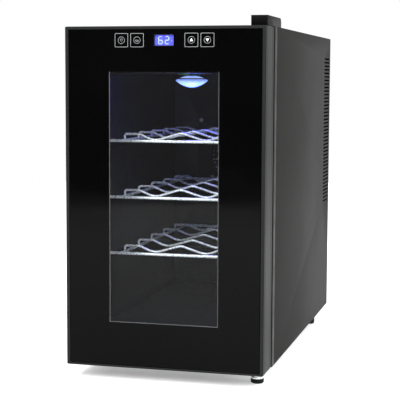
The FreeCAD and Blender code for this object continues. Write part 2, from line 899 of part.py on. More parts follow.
def make_shelf(level):
    """Two cross bars, two side rails and a row of wavy cradle wires, welded together."""
    wires = [rod(bar_radius, (-bar_half, y, level), (bar_half, y, level))
             for y in (shelf_front, shelf_back)]
    wires += [rod(rail_radius, (x, shelf_front, level), (x, shelf_back, level))
              for x in (-rail_x, rail_x)]
    room = shelf_back - shelf_front - cradle_offset - bar_radius - cradle_radius
    for i in range(int(room / cradle_pitch) + 1):
        wire = bent_wire(cradle_corners(level), cradle_radius)
        wire.translate(Vector(0, shelf_front + cradle_offset + i * cradle_pitch, 0))
        wires.append(wire)
    return fuse_all(wires)


# ---- Door -----------------------------------------------------------------------------------------------
def bush_block(radius, z0, z1):
    return rod(radius, (pivot_x, pivot_y, z0), (pivot_x, pivot_y, z1))


bush_length = pin_length + bush_gap


def make_upper_bush():
    body = bush_block(bush_radius, door_top - bush_length, door_top)
    return body.cut(bush_block(bush_bore, door_top - pin_length, door_top))


def make_lower_bush():
    body = bush_block(bush_radius, door_bottom, door_bottom + bush_length)
    return body.cut(bush_block(bush_bore, door_bottom, door_bottom + pin_length))


def bush_room():
    return [bush_block(bush_radius, door_top - bush_length, door_top),
            bush_block(bush_radius, door_bottom, door_bottom + bush_length)]


def make_door_frame():
    """The outer frame of the door: a rim round the glass, a flange behind it and four walls."""
    outer = wide_block(half_width, front_y, door_back, door_bottom, door_top)
    seat = wide_block(glass_half, front_y, glass_back, glass_bottom, glass_top)
    flange_end = glass_back + glass_flange_thickness
    inner_half = glass_half - glass_flange
    opening = wide_block(inner_half, glass_back, flange_end, glass_bottom + glass_flange,
                         glass_top - glass_flange)
    hollow = wide_block(half_width - frame_wall, flange_end, door_back,
                        door_bottom + frame_wall, door_top - frame_wall)
    return outer.cut([seat, opening, hollow] + bush_room())


def make_front_glass():
    return wide_block(glass_half, front_y, glass_back, glass_bottom, glass_top)


def pane_limits():
    grow = spacer_set_back + spacer_width
    return window_half + grow, window_low - grow, window_high + grow


def make_spacer():
    half, low, high = pane_limits()
    return window_ring(half, low, high, spacer_width, glass_back, spacer_back)


def make_inner_glass():
    half, low, high = pane_limits()
    return wide_block(half, spacer_back, inner_glass_back, low, high)


def make_inner_panel():
    """The moulded back of the door, with a collar that holds the inner pane."""
    wall_half = half_width - frame_wall
    sheet_face = wide_block(wall_half, panel_front, door_back, door_bottom + frame_wall,
                            door_top - frame_wall)
    grow = panel_window_offset
    low, high = window_low - grow, window_high + grow
    half = window_half + grow
    collar = wide_block(half + panel_flange, inner_glass_back, panel_front,
                        low - panel_flange, high + panel_flange)
    tunnel = wide_block(half, inner_glass_back, door_back, low, high)
    return fuse_all([sheet_face, collar]).cut(tunnel)


def electronics_room():
    half = max(key_centres) + control_board_margin + electronics_clearance
    tall = control_board_half_height + electronics_clearance
    return wide_block(half, glass_back, control_board_back + electronics_clearance,
                      display_z - tall, display_z + tall)


def make_door_foam(neighbours):
    flange_end = glass_back + glass_flange_thickness
    fill = wide_block(half_width - frame_wall, glass_back, panel_front,
                      door_bottom + frame_wall, door_top - frame_wall)
    half, low, high = pane_limits()
    grow = panel_window_offset
    tunnel = wide_block(window_half + grow, inner_glass_back, panel_front,
                        window_low - grow, window_high + grow)
    pane_room = wide_block(half, glass_back, inner_glass_back, low, high)
    return largest(fill.cut([tunnel, pane_room, electronics_room()] + neighbours + bush_room()))


def gasket_limits():
    return half_width - gasket_inset, door_bottom + gasket_inset, door_top - gasket_inset


def magnet_block(inset, width_across, y0, y1):
    half, low, high = gasket_limits()
    return window_ring(half - inset, low + inset, high - inset, width_across, y0, y1)


def make_gasket():
    """The soft seal round the back of the door, with a channel for the magnets."""
    half, low, high = gasket_limits()
    ring = window_ring(half, low, high, gasket_width, door_back, cabinet_front - gasket_clearance)
    channel = magnet_block((gasket_width - magnet_width) / 2, magnet_width, door_back,
                           door_back + magnet_depth)
    return ring.cut(channel)


def make_magnets():
    inset = (gasket_width - magnet_width) / 2
    half, low, high = gasket_limits()
    half, low, high = half - inset, low + inset, high - inset
    y0, y1 = door_back, door_back + magnet_depth
    end = magnet_width + magnet_end_gap
    return [
        block(-half, magnet_width - half, y0, y1, low + end, high - end),
        block(half - magnet_width, half, y0, y1, low + end, high - end),
        wide_block(half - end, y0, y1, low, low + magnet_width),
        wide_block(half - end, y0, y1, high - magnet_width, high),
    ]


def make_control_board():
    half = max(key_centres) + control_board_margin
    return wide_block(half, control_board_front, control_board_back,
                      display_z - control_board_half_height, display_z + control_board_half_height)


def make_display():
    half_x, half_z = display_half
    body = wide_block(half_x, glass_back, control_board_front, display_z - half_z, display_z + half_z)
    return rounded(body, display_bezel, Y_AXIS)


def make_touch_pads():
    """A springy sleeve behind the glass under each of the four touch keys."""
    pads = []
    for x in key_centres:
        ends = ((x, glass_back, display_z), (x, control_board_front, display_z))
        pads.append(rod(key_pad_radius, *ends).cut(rod(key_pad_radius - key_pad_wall, *ends)))
    return pads


# ---- Hinges and feet --------------------------------------------------------------------------------------
def make_upper_bracket():
    z0, z1 = top_z, top_z + hinge_plate
    room = cover_wall + cover_fit
    plate = block(cover_left + room, cover_right - room, pivot_y - cover_nose + room,
                  pivot_y + hinge_plate_reach, z0, z1)
    plate = rounded(plate, plate_corner, Z_AXIS)
    return plate.cut([bush_block(pin_radius, z0, z1)] + upper_screw_shafts())


def make_upper_pin():
    bracket_top = top_z + hinge_plate
    shank = bush_block(pin_radius, door_top - pin_length + bush_gap, bracket_top)
    return shank.fuse(bush_block(pin_head, bracket_top, bracket_top + pin_head_height))


def make_hinge_cover():
    y0, y1 = pivot_y - cover_nose, pivot_y + cover_reach
    z1 = top_z + hinge_cover_height
    outer = block(cover_left, cover_right, y0, y1, top_z, z1)
    rear_top = [e for e in edges_at(outer, Y_AXIS, y1) if e.BoundBox.ZMin > z1 - 1]
    outer = outer.makeFillet(cover_rear_corner, rear_top)
    inner = block(cover_left + cover_wall, cover_right - cover_wall, y0 + cover_wall,
                  y1 - cover_wall, top_z, z1 - cover_wall)
    rear_top = [e for e in edges_at(inner, Y_AXIS, y1 - cover_wall)
                if e.BoundBox.ZMin > z1 - cover_wall - 1]
    inner = inner.makeFillet(cover_rear_corner - cover_wall, rear_top)
    return outer.cut(inner)


def make_lower_bracket():
    """A steel plate under the cabinet whose tongue carries the lower pin and the right-hand foot."""
    z0, z1 = lower_plate_bottom, bottom_z
    right = half_width - hinge_plate_edge
    wing_front = cabinet_front + lower_tongue_reach
    tongue = block(pivot_x - lower_plate_half, right, pivot_y - hinge_plate_nose,
                   wing_front, z0, z1)
    wing = block(pivot_x - lower_plate_half - lower_wing, right, wing_front,
                 cabinet_front + lower_reach, z0, z1)
    plate = rounded(fuse_all([tongue, wing]), plate_corner, Z_AXIS)
    foot_hole = rod(stud_radius + stud_clearance, (*right_foot, z0), (*right_foot, z1))
    return plate.cut([bush_block(pin_radius, z0, z1), foot_hole] + lower_screw_shafts())


def make_lower_pin():
    collar = bush_block(pin_head, bottom_z, door_bottom - collar_play)
    rivet = bush_block(pin_head, lower_plate_bottom - pin_head_height, lower_plate_bottom)
    shank = bush_block(pin_radius, lower_plate_bottom, door_bottom + pin_length - bush_gap)
    return fuse_all([shank, collar, rivet])


def make_pad(place):
    pad = rod(front_pad_radius, (*place, 0), (*place, pad_height))
    pad = pad.makeChamfer(foot_chamfer, edges_at(pad, Z_AXIS, 0))
    return pad.cut(rod(stud_radius, (*place, pad_height - stud_seat), (*place, pad_height)))


def make_stud(place, stud_top):
    stud = rod(stud_radius, (*place, pad_height - stud_seat), (*place, stud_top))
    return stud.fuse(rod(foot_flange_radius, (*place, pad_height), (*place, foot_top)))


def hex_nut(place, z0, z1):
    across_corners = nut_across / math.cos(math.radians(30))
    corners = [
        Vector(place[0] + across_corners / 2 * math.cos(math.radians(60 * i)),
               place[1] + across_corners / 2 * math.sin(math.radians(60 * i)), z0)
        for i in range(7)
    ]
    nut = Part.Face(Part.makePolygon(corners)).extrude(Vector(0, 0, z1 - z0))
    return nut.cut(rod(stud_radius + stud_clearance, (*place, z0), (*place, z1)))


def make_foot_nuts():
    """The threaded seats of the two front feet, welded to the hinge plate and to the base."""
    return [hex_nut(right_foot, foot_top, lower_plate_bottom), hex_nut(left_foot, foot_top, bottom_z)]


def make_rear_feet():
    feet = []
    for side in (-1, 1):
        place = (side * (half_width - rear_foot_inset), rear_feet_y)
        foot = rod(rear_foot_radius, (*place, 0), (*place, bottom_z))
        feet.append(foot.makeChamfer(foot_chamfer, edges_at(foot, Z_AXIS, 0)))
    return feet


def make_parts():
    """Every node of the model by name: one shape, or a list of separate solids."""
    air_cover_front = cavity_back - air_cover_thickness
    cold_fan_front = cavity_back
    hot_fan_front = plate_back + hot_base_thickness + hot_fin_height + sink_gap
    cold_fan = (cold_fan_thickness, cold_bore, cold_hub, cold_fan_front)
    hot_fan = (hot_fan_thickness, hot_bore, hot_hub, hot_fan_front)
    parts = {
        "cabinet_shell": make_shell().cut(upper_screw_shafts() + rear_screw_holes(flange_front, flange_back)),
        "front_bezel": make_bezel(),
        "strike_frame": make_strike_frame(),
        "inner_liner": make_liner(),
        "base_pan": make_base_pan(),
        "back_plate": make_back_plate(),
        "rear_cover": make_rear_cover(),
        "rear_cover_screws": make_rear_screws(),
        "upper_hinge_bracket": make_upper_bracket(),
        "upper_hinge_pin": make_upper_pin(),
        "upper_hinge_screws": make_upper_hinge_screws(),
        "hinge_cover": make_hinge_cover(),
        "lower_hinge_bracket": make_lower_bracket(),
        "lower_hinge_pin": make_lower_pin(),
        "lower_hinge_screws": make_lower_hinge_screws(),
        "foot_nuts": make_foot_nuts(),
        "rear_feet": make_rear_feet(),
        "cold_heat_sink": make_cold_sink(),
        "cold_block": wide_block(block_half, pocket_back, block_back, cooler_z - block_half,
                                 cooler_z + block_half),
        "peltier_module": wide_block(block_half, block_back, plate_back, cooler_z - block_half,
                                     cooler_z + block_half),
        "hot_heat_sink": make_hot_sink(),
        "clamp_screws": make_clamp_screws(),
        "hot_fan_frame": make_fan_frame(hot_fan_half, *hot_fan),
        "hot_fan_rotor": make_rotor(*hot_fan),
        "hot_fan_screws": make_fan_screws(hot_fan_half, hot_fan_front - sink_gap,
                                          hot_fan_front + hot_fan_thickness, False),
        "cold_fan_frame": make_fan_frame(cold_fan_half, *cold_fan),
        "cold_fan_rotor": make_rotor(*cold_fan),
        "cold_fan_screws": make_fan_screws(cold_fan_half, air_cover_front,
                                           cold_fan_front + cold_fan_thickness, True),
        "air_cover": make_air_cover(),
        "air_cover_screws": make_air_cover_screws(),
        "power_board": make_power_board(),
        "board_standoffs": make_standoffs(),
        "transformer": make_transformer(),
        "capacitors": make_capacitors(),
        "power_inlet": make_inlet(),
        "inlet_blades": inlet_blades(),
        "lamp_lens": make_lamp_lens(),
        "lamp_board": make_lamp_board(),
        "temperature_sensor": make_sensor(),
        "door_frame": make_door_frame(),
        "front_glass": make_front_glass(),
        "glass_spacer": make_spacer(),
        "inner_glass": make_inner_glass(),
        "door_inner_panel": make_inner_panel(),
        "door_gasket": make_gasket(),
        "gasket_magnets": make_magnets(),
        "control_board": make_control_board(),
        "display_module": make_display(),
        "touch_pads": make_touch_pads(),
        "upper_door_bush": make_upper_bush(),
        "lower_door_bush": make_lower_bush(),
        "right_foot_stud": make_stud(right_foot, bottom_z),
        "right_foot_pad": make_pad(right_foot),
        "left_foot_stud": make_stud(left_foot, base_top + left_stud_room - stud_end_gap),
        "left_foot_pad": make_pad(left_foot),
    }
    walls = ["cabinet_shell", "front_bezel", "strike_frame", "base_pan"]
    parts["cabinet_foam"] = make_cabinet_foam([parts[name] for name in walls])
    parts["door_foam"] = make_door_foam([parts["door_frame"], parts["door_inner_panel"]])
    for name, level in zip(("lower_shelf", "middle_shelf", "upper_shelf"), shelf_levels):
        parts[name] = make_shelf(level)
    return parts


os.makedirs("parts", exist_ok=True)
for name, shape in make_parts().items():
    if isinstance(shape, list):
        shape = Part.makeCompound(shape)
    shape.exportStep(f"parts/{name}.step")
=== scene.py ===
import json
import math

import bmesh
import bpy
from mathutils import Matrix, Vector


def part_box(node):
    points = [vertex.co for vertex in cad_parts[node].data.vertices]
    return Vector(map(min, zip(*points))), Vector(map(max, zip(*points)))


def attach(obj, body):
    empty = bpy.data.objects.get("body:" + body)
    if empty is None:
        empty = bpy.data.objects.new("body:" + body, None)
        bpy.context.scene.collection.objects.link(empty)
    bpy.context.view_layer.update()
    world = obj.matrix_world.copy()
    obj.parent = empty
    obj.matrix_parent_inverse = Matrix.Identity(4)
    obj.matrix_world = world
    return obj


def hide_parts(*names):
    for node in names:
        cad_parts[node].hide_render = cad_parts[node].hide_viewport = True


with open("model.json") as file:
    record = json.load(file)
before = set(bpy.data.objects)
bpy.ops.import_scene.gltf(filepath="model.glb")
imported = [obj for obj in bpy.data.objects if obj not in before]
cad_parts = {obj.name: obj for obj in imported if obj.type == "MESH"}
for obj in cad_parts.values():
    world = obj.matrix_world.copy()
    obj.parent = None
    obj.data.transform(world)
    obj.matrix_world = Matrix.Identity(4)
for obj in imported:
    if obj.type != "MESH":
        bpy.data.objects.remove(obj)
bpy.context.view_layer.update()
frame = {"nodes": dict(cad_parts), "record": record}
nodes = frame["nodes"]

MM = 0.001
X, Y, Z = Vector((1, 0, 0)), Vector((0, 1, 0)), Vector((0, 0, 1))
WELD = 1e-6  # points closer together than this are one
SMOOTH_ANGLE = math.radians(32)
FLAT_ANGLE = math.radians(0.5)
BEVEL_ANGLE = math.radians(40)

scene = bpy.context.scene
scene.view_settings.view_transform = "Standard"


# ---- Camera, floor, light ---------------------------------------------------------------------
CAMERA_LENS = 108.15
CAMERA_PLACE = (0.4092, -1.6528, 0.3742)
CAMERA_TURNS = ((14.557, "Z"), (90 - 5.666, "X"), (0.252, "Z"))
FLOOR_RADIUS = 2.6
FLOOR_SET_BACK = 0.2

# How bright the surround is that the object mirrors and is lit by, and where it changes. The upright
# limits are the sine of the height above the horizon, the others run from in front to behind.
HORIZON_FRONT = 0.05
HORIZON_BACK = 1.2
HORIZON_TURN = (-0.3, 0.4)
DOME = 1.3
DOME_RISE = (0.08, 0.5)

# Each softbox: its place, what it points at, its width and height, and its power in watts.
OBJECT_FRONT = (0, -0.2, 0.25)
SOFTBOXES = {
    "top_softbox": ((0.0, -0.2, 2.4), (0, 0, 0), (2.6, 2.6), 13),
    "left_softbox": ((-0.60, -2.1, 1.75), OBJECT_FRONT, (0.9, 1.6), 55),
    "right_softbox": ((1.25, -2.0, 1.2), OBJECT_FRONT, (0.8, 1.1), 45),
}


def make_camera():
    """The photograph's angle: from the front right, a little above the middle of the door."""
    camera = bpy.data.objects.new("camera", bpy.data.cameras.new("camera"))
    scene.collection.objects.link(camera)
    camera.data.sensor_width = 36
    camera.data.lens = CAMERA_LENS
    camera.data.clip_end = 100
    camera.location = CAMERA_PLACE
    yaw, pitch, roll = (Matrix.Rotation(math.radians(angle), 4, axis) for angle, axis in CAMERA_TURNS)
    camera.rotation_euler = (yaw @ pitch @ roll).to_euler()
    scene.camera = camera


def make_floor():
    """A plain pale disc that fades into the white surround."""
    bm = bmesh.new()
    bmesh.ops.create_circle(bm, cap_ends=True, radius=FLOOR_RADIUS, segments=96)
    mesh = bpy.data.meshes.new("floor")
    bm.to_mesh(mesh)
    bm.free()
    floor = bpy.data.objects.new("floor", mesh)
    scene.collection.objects.link(floor)
    floor.location = (0, FLOOR_SET_BACK, 0)
    floor.data.materials.append(MATERIALS["floor"])


def area_light(name, place, target, size, power):
    light = bpy.data.lights.new(name, "AREA")
    light.shape = "RECTANGLE"
    light.size, light.size_y = size
    light.energy = power
    obj = bpy.data.objects.new(name, light)
    scene.collection.objects.link(obj)
    obj.location = place
    obj.rotation_euler = (Vector(target) - Vector(place)).to_track_quat("-Z", "Y").to_euler()


def make_world():
    """White where the camera sees it. What the object sees is a bright dome over a horizon that is
    dark in front, where the upright glass mirrors it, and bright behind."""
    world = bpy.data.worlds.new("surround")
    scene.world = world
    world.use_nodes = True
    tree = world.node_tree
    tree.nodes.clear()
    out = tree.nodes.new("ShaderNodeOutputWorld")
    mix = tree.nodes.new("ShaderNodeMixShader")
    path = tree.nodes.new("ShaderNodeLightPath")
    dome = tree.nodes.new("ShaderNodeBackground")
    white = tree.nodes.new("ShaderNodeBackground")
    place = tree.nodes.new("ShaderNodeTexCoord")
    split = tree.nodes.new("ShaderNodeSeparateXYZ")
    height = tree.nodes.new("ShaderNodeMapRange")
    height.interpolation_type = "SMOOTHSTEP"
    for socket, value in (("From Min", DOME_RISE[0]), ("From Max", DOME_RISE[1]), ("To Max", DOME)):
        height.inputs[socket].default_value = value
    horizon = tree.nodes.new("ShaderNodeMapRange")
    horizon.interpolation_type = "SMOOTHSTEP"
    for socket, value in (("From Min", HORIZON_TURN[0]), ("From Max", HORIZON_TURN[1]),
                          ("To Min", HORIZON_FRONT), ("To Max", HORIZON_BACK)):
        horizon.inputs[socket].default_value = value
    white.inputs["Strength"].default_value = 1.0
    white.inputs["Color"].default_value = (1, 1, 1, 1)
    dome.inputs["Color"].default_value = (1, 1, 1, 1)
    tree.links.new(place.outputs["Generated"], split.inputs[0])
    tree.links.new(split.outputs["Z"], height.inputs["Value"])
    tree.links.new(split.outputs["Y"], horizon.inputs["Value"])
    tree.links.new(horizon.outputs["Result"], height.inputs["To Min"])
    tree.links.new(height.outputs["Result"], dome.inputs["Strength"])
    tree.links.new(path.outputs["Is Camera Ray"], mix.inputs[0])
    tree.links.new(dome.outputs[0], mix.inputs[1])
    tree.links.new(white.outputs[0], mix.inputs[2])
    tree.links.new(mix.outputs[0], out.inputs["Surface"])


def make_lights():
    for name, (place, target, size, power) in SOFTBOXES.items():
        area_light(name, place, target, size, power)


# ---- Materials --------------------------------------------------------------------------------
LAMP_GLOW = 1.15
LAMP_POWER = 0.2


class Surface:
    """A Principled material whose grain, tone and roughness come from node textures."""

    def __init__(self, name, colour, roughness, **sockets):
        self.material = bpy.data.materials.new(name)
        self.material.use_nodes = True
        self.tree = self.material.node_tree
        self.shader = self.tree.nodes["Principled BSDF"]
        self.shader.inputs["Base Color"].default_value = (*colour, 1)
        self.shader.inputs["Roughness"].default_value = roughness
        self.colour, self.roughness = colour, roughness
        for socket, value in sockets.items():
            self.shader.inputs[socket.replace("_", " ")].default_value = value
        self.bump_into = self.shader.inputs["Normal"]
        self.place = self.tree.nodes.new("ShaderNodeTexCoord").outputs["Object"]

    def node(self, kind, **values):
        node = self.tree.nodes.new(kind)
        for key, value in values.items():
            if hasattr(node, key):
                setattr(node, key, value)
            else:
                node.inputs[key.replace("_", " ")].default_value = value
        return node

    def link(self, source, target):
        self.tree.links.new(source, target)

    def stretched(self, scale):
        """The object's place, scaled by a vector, so that a grain can run along one axis."""
        mapping = self.node("ShaderNodeMapping")
        mapping.inputs["Scale"].default_value = scale
        self.link(self.place, mapping.inputs["Vector"])
        return mapping.outputs["Vector"]

    def noise(self, size, detail=3.0, vector=None):
        """Noise whose lumps measure about size metres."""
        noise = self.node("ShaderNodeTexNoise", Scale=1 / size, Detail=detail)
        self.link(vector or self.place, noise.inputs["Vector"])
        return noise.outputs["Fac"]

    def ramp(self, value, low, high, start=0.3, end=0.7):
        """A value between two ends, from a texture that varies about one half."""
        turn = self.node("ShaderNodeMapRange")
        for socket, number in (("From Min", start), ("From Max", end), ("To Min", low), ("To Max", high)):
            turn.inputs[socket].default_value = number
        self.link(value, turn.inputs["Value"])
        return turn.outputs["Result"]

    def vary_colour(self, value, low, high, start=0.3, end=0.7):
        """The base colour times a factor between low and high."""
        mix = self.node("ShaderNodeMix", data_type="RGBA")
        colour_a = [min(1, c * low) for c in self.colour] + [1]
        colour_b = [min(1, c * high) for c in self.colour] + [1]
        sockets = [s for s in mix.inputs if s.type == "RGBA"]
        sockets[0].default_value, sockets[1].default_value = colour_a, colour_b
        self.link(self.ramp(value, 0, 1, start, end), mix.inputs["Factor"])
        output = [s for s in mix.outputs if s.type == "RGBA"][0]
        self.link(output, self.shader.inputs["Base Color"])
        return self

    def vary_roughness(self, value, low, high, start=0.3, end=0.7):
        self.link(self.ramp(value, low, high, start, end), self.shader.inputs["Roughness"])
        return self

    def bump(self, value, distance, strength=1.0):
        """Adds relief; several calls lie on top of each other."""
        bump = self.node("ShaderNodeBump")
        bump.inputs["Strength"].default_value = strength
        bump.inputs["Distance"].default_value = distance
        self.link(value, bump.inputs["Height"])
        self.link(bump.outputs["Normal"], self.bump_into)
        self.bump_into = bump.inputs["Normal"]
        return self


def powder_coat(name, colour, roughness, **sockets):
    """Paint baked on steel: a fine orange peel, with faint patches of duller and shinier paint."""
    s = Surface(name, colour, roughness, **sockets)
    s.bump(s.noise(0.0009, 2), 0.00006, 0.35)
    s.bump(s.noise(0.00035, 2), 0.00003, 0.3)
    s.vary_roughness(s.noise(0.12, 3), roughness - 0.015, roughness + 0.02)
    s.vary_colour(s.noise(0.10, 3), 0.95, 1.05)
    return s.material


def moulded(name, colour, roughness=0.5, grain=0.0006, **sockets):
    """Injection-moulded plastic with a fine spark-eroded grain."""
    s = Surface(name, colour, roughness, **sockets)
    s.bump(s.noise(grain, 3), grain * 0.08, 0.5)
    s.vary_roughness(s.noise(0.02, 3), roughness - 0.06, roughness + 0.06)
    s.vary_colour(s.noise(0.03, 2), 0.9, 1.1)
    return s.material


def drawn_metal(name, colour, roughness, along):
    """Metal with a fine grain that runs along the axis whose scale is small."""
    grain = 0.0004
    s = Surface(name, colour, roughness, Metallic=1.0)
    lines = s.noise(grain, 2, s.stretched(along))
    s.bump(lines, grain * 0.05, 0.5)
    s.vary_roughness(lines, roughness - 0.07, roughness + 0.1)
    s.vary_colour(s.noise(0.01, 3), 0.88, 1.06)
    return s.material


def chrome_wire():
    """Satin plated wire with faint waves left by drawing and plating."""
    s = Surface("chrome_wire", (0.84, 0.85, 0.88), 0.28, Metallic=0.55)
    s.vary_roughness(s.noise(0.003, 3), 0.22, 0.36)
    s.bump(s.noise(0.002, 2), 0.00003, 0.3)
    return s.material


def black_print():
    """The black border under the glass: deep, with a faint haze of wiping marks."""
    s = Surface("black_print", (0.0008, 0.0008, 0.0009), 0.06, Specular_IOR_Level=0.05)
    smears = s.noise(0.03, 5, s.stretched((0.4, 1, 1.6)))
    s.vary_roughness(smears, 0.04, 0.12)
    s.vary_colour(s.noise(0.2, 2), 0.8, 1.3)
    return s.material


def clear_film(name, tint, gloss_roughness, ior, haze=0.0):
    """One face of a clear pane: it lets light straight through, mirrors a little of it, and a tinted
    coat also scatters a trace of grey."""
    material = bpy.data.materials.new(name)
    material.use_nodes = True
    tree = material.node_tree
    tree.nodes.clear()
    out = tree.nodes.new("ShaderNodeOutputMaterial")
    mix = tree.nodes.new("ShaderNodeMixShader")
    add = tree.nodes.new("ShaderNodeAddShader")
    through = tree.nodes.new("ShaderNodeBsdfTransparent")
    gloss = tree.nodes.new("ShaderNodeBsdfGlossy")
    coat = tree.nodes.new("ShaderNodeBsdfDiffuse")
    fresnel = tree.nodes.new("ShaderNodeFresnel")
    through.inputs["Color"].default_value = (*tint, 1)
    coat.inputs["Color"].default_value = (haze, haze, haze, 1)
    gloss.inputs["Roughness"].default_value = gloss_roughness
    fresnel.inputs["IOR"].default_value = ior
    tree.links.new(fresnel.outputs[0], mix.inputs[0])
    tree.links.new(through.outputs[0], mix.inputs[1])
    tree.links.new(gloss.outputs[0], mix.inputs[2])
    tree.links.new(mix.outputs[0], add.inputs[0])
    tree.links.new(coat.outputs[0], add.inputs[1])
    tree.links.new(add.outputs[0], out.inputs["Surface"])
    return material


def glowing(name, colour, strength, roughness=0.4):
    """A surface that gives off its own colour. Returns the Surface, so that more can be added."""
    s = Surface(name, colour, roughness)
    s.shader.inputs["Emission Color"].default_value = (*colour, 1)
    s.shader.inputs["Emission Strength"].default_value = strength
    s.bump(s.noise(0.001, 2), 0.00002, 0.2)
    return s


def lamp_lens():
    """A frosted lens lit from inside: blue at its foot, rim and crown, nearly white between them,
    with soft patches where the diodes are."""
    s = glowing("lamp_lens", (0.30, 0.42, 1.0), LAMP_GLOW, 0.25)
    lo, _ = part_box("lamp_lens")
    foot, crown = lo.z + 2.0 * MM, lo.z + 18.2 * MM
    split = s.node("ShaderNodeSeparateXYZ")
    s.link(s.place, split.inputs[0])
    patches = s.node("ShaderNodeMath", operation="MULTIPLY_ADD")
    patches.inputs[1].default_value = 3.0 * MM
    s.link(s.noise(0.006, 2), patches.inputs[0])
    s.link(split.outputs["Z"], patches.inputs[2])
    ramp = s.node("ShaderNodeValToRGB")
    stops = [(0.0, (0.05, 0.09, 0.9)), (0.14, (0.35, 0.6, 1.0)), (0.3, (0.62, 0.9, 1.0)),
             (0.5, (0.42, 0.6, 1.0)), (0.6, (0.16, 0.24, 1.0)), (0.68, (0.35, 0.45, 1.0)),
             (0.84, (0.45, 0.6, 1.0)), (1.0, (0.06, 0.09, 0.9))]
    ramp.color_ramp.elements[0].position, ramp.color_ramp.elements[1].position = 0.0, 1.0
    for place, _ in stops[1:-1]:
        ramp.color_ramp.elements.new(place)
    for element, (_, colour) in zip(ramp.color_ramp.elements, stops):
        element.color = (*colour, 1)
    s.link(s.ramp(patches.outputs["Value"], 0, 1, foot, crown), ramp.inputs["Fac"])
    s.link(ramp.outputs["Color"], s.shader.inputs["Emission Color"])
    return s.material


def circuit_board():
    """Green lacquer over copper tracks, which show as a fine lighter maze."""
    s = Surface("circuit_board", (0.02, 0.11, 0.04), 0.35)
    tracks = s.node("ShaderNodeTexBrick", Scale=220.0)
    tracks.inputs["Mortar Size"].default_value = 0.08
    s.link(s.place, tracks.inputs["Vector"])
    s.vary_colour(tracks.outputs["Fac"], 1.0, 2.2, 0, 1)
    s.bump(tracks.outputs["Fac"], 0.00004, 0.5)
    s.vary_roughness(s.noise(0.004, 2), 0.28, 0.42)
    return s.material


def foam():
    """Cut foam: small open cells and slow changes of tone."""
    s = Surface("foam", (0.70, 0.60, 0.40), 0.9)
    cells = s.node("ShaderNodeTexVoronoi", Scale=700.0)
    s.link(s.place, cells.inputs["Vector"])
    s.bump(cells.outputs["Distance"], 0.0005, 0.8)
    s.vary_colour(s.noise(0.01, 4), 0.85, 1.1)
    return s.material


def ribbed_fins():
    """Extruded aluminium, with fine upright lines from the die."""
    s = Surface("fin_aluminium", (0.78, 0.79, 0.81), 0.32, Metallic=1.0)
    s.bump(s.noise(0.0005, 2, s.stretched((1, 1, 0.02))), 0.00003, 0.5)
    s.vary_roughness(s.noise(0.004, 3), 0.25, 0.42)
    s.vary_colour(s.noise(0.015, 3), 0.85, 1.05)
    return s.material


def floor_paint():
    """Matt white that also glows a little, so that it meets the white surround without an edge."""
    s = Surface("floor", (0.88, 0.88, 0.88), 0.85, Specular_IOR_Level=0.1)
    s.shader.inputs["Emission Color"].default_value = (1, 1, 1, 1)
    s.shader.inputs["Emission Strength"].default_value = 0.3
    s.bump(s.noise(0.004, 2), 0.0001, 0.05)
    return s.material


def sleeve(name, colour, stripe):
    """Shrink sleeving round a capacitor, with bands along it."""
    s = Surface(name, colour, 0.35)
    bands = s.noise(0.006, 0, s.stretched((1, 0.05, 1)))
    s.vary_colour(bands, 1.0, stripe, 0.55, 0.57)
    s.bump(s.noise(0.001, 2), 0.00003, 0.4)
    return s.material


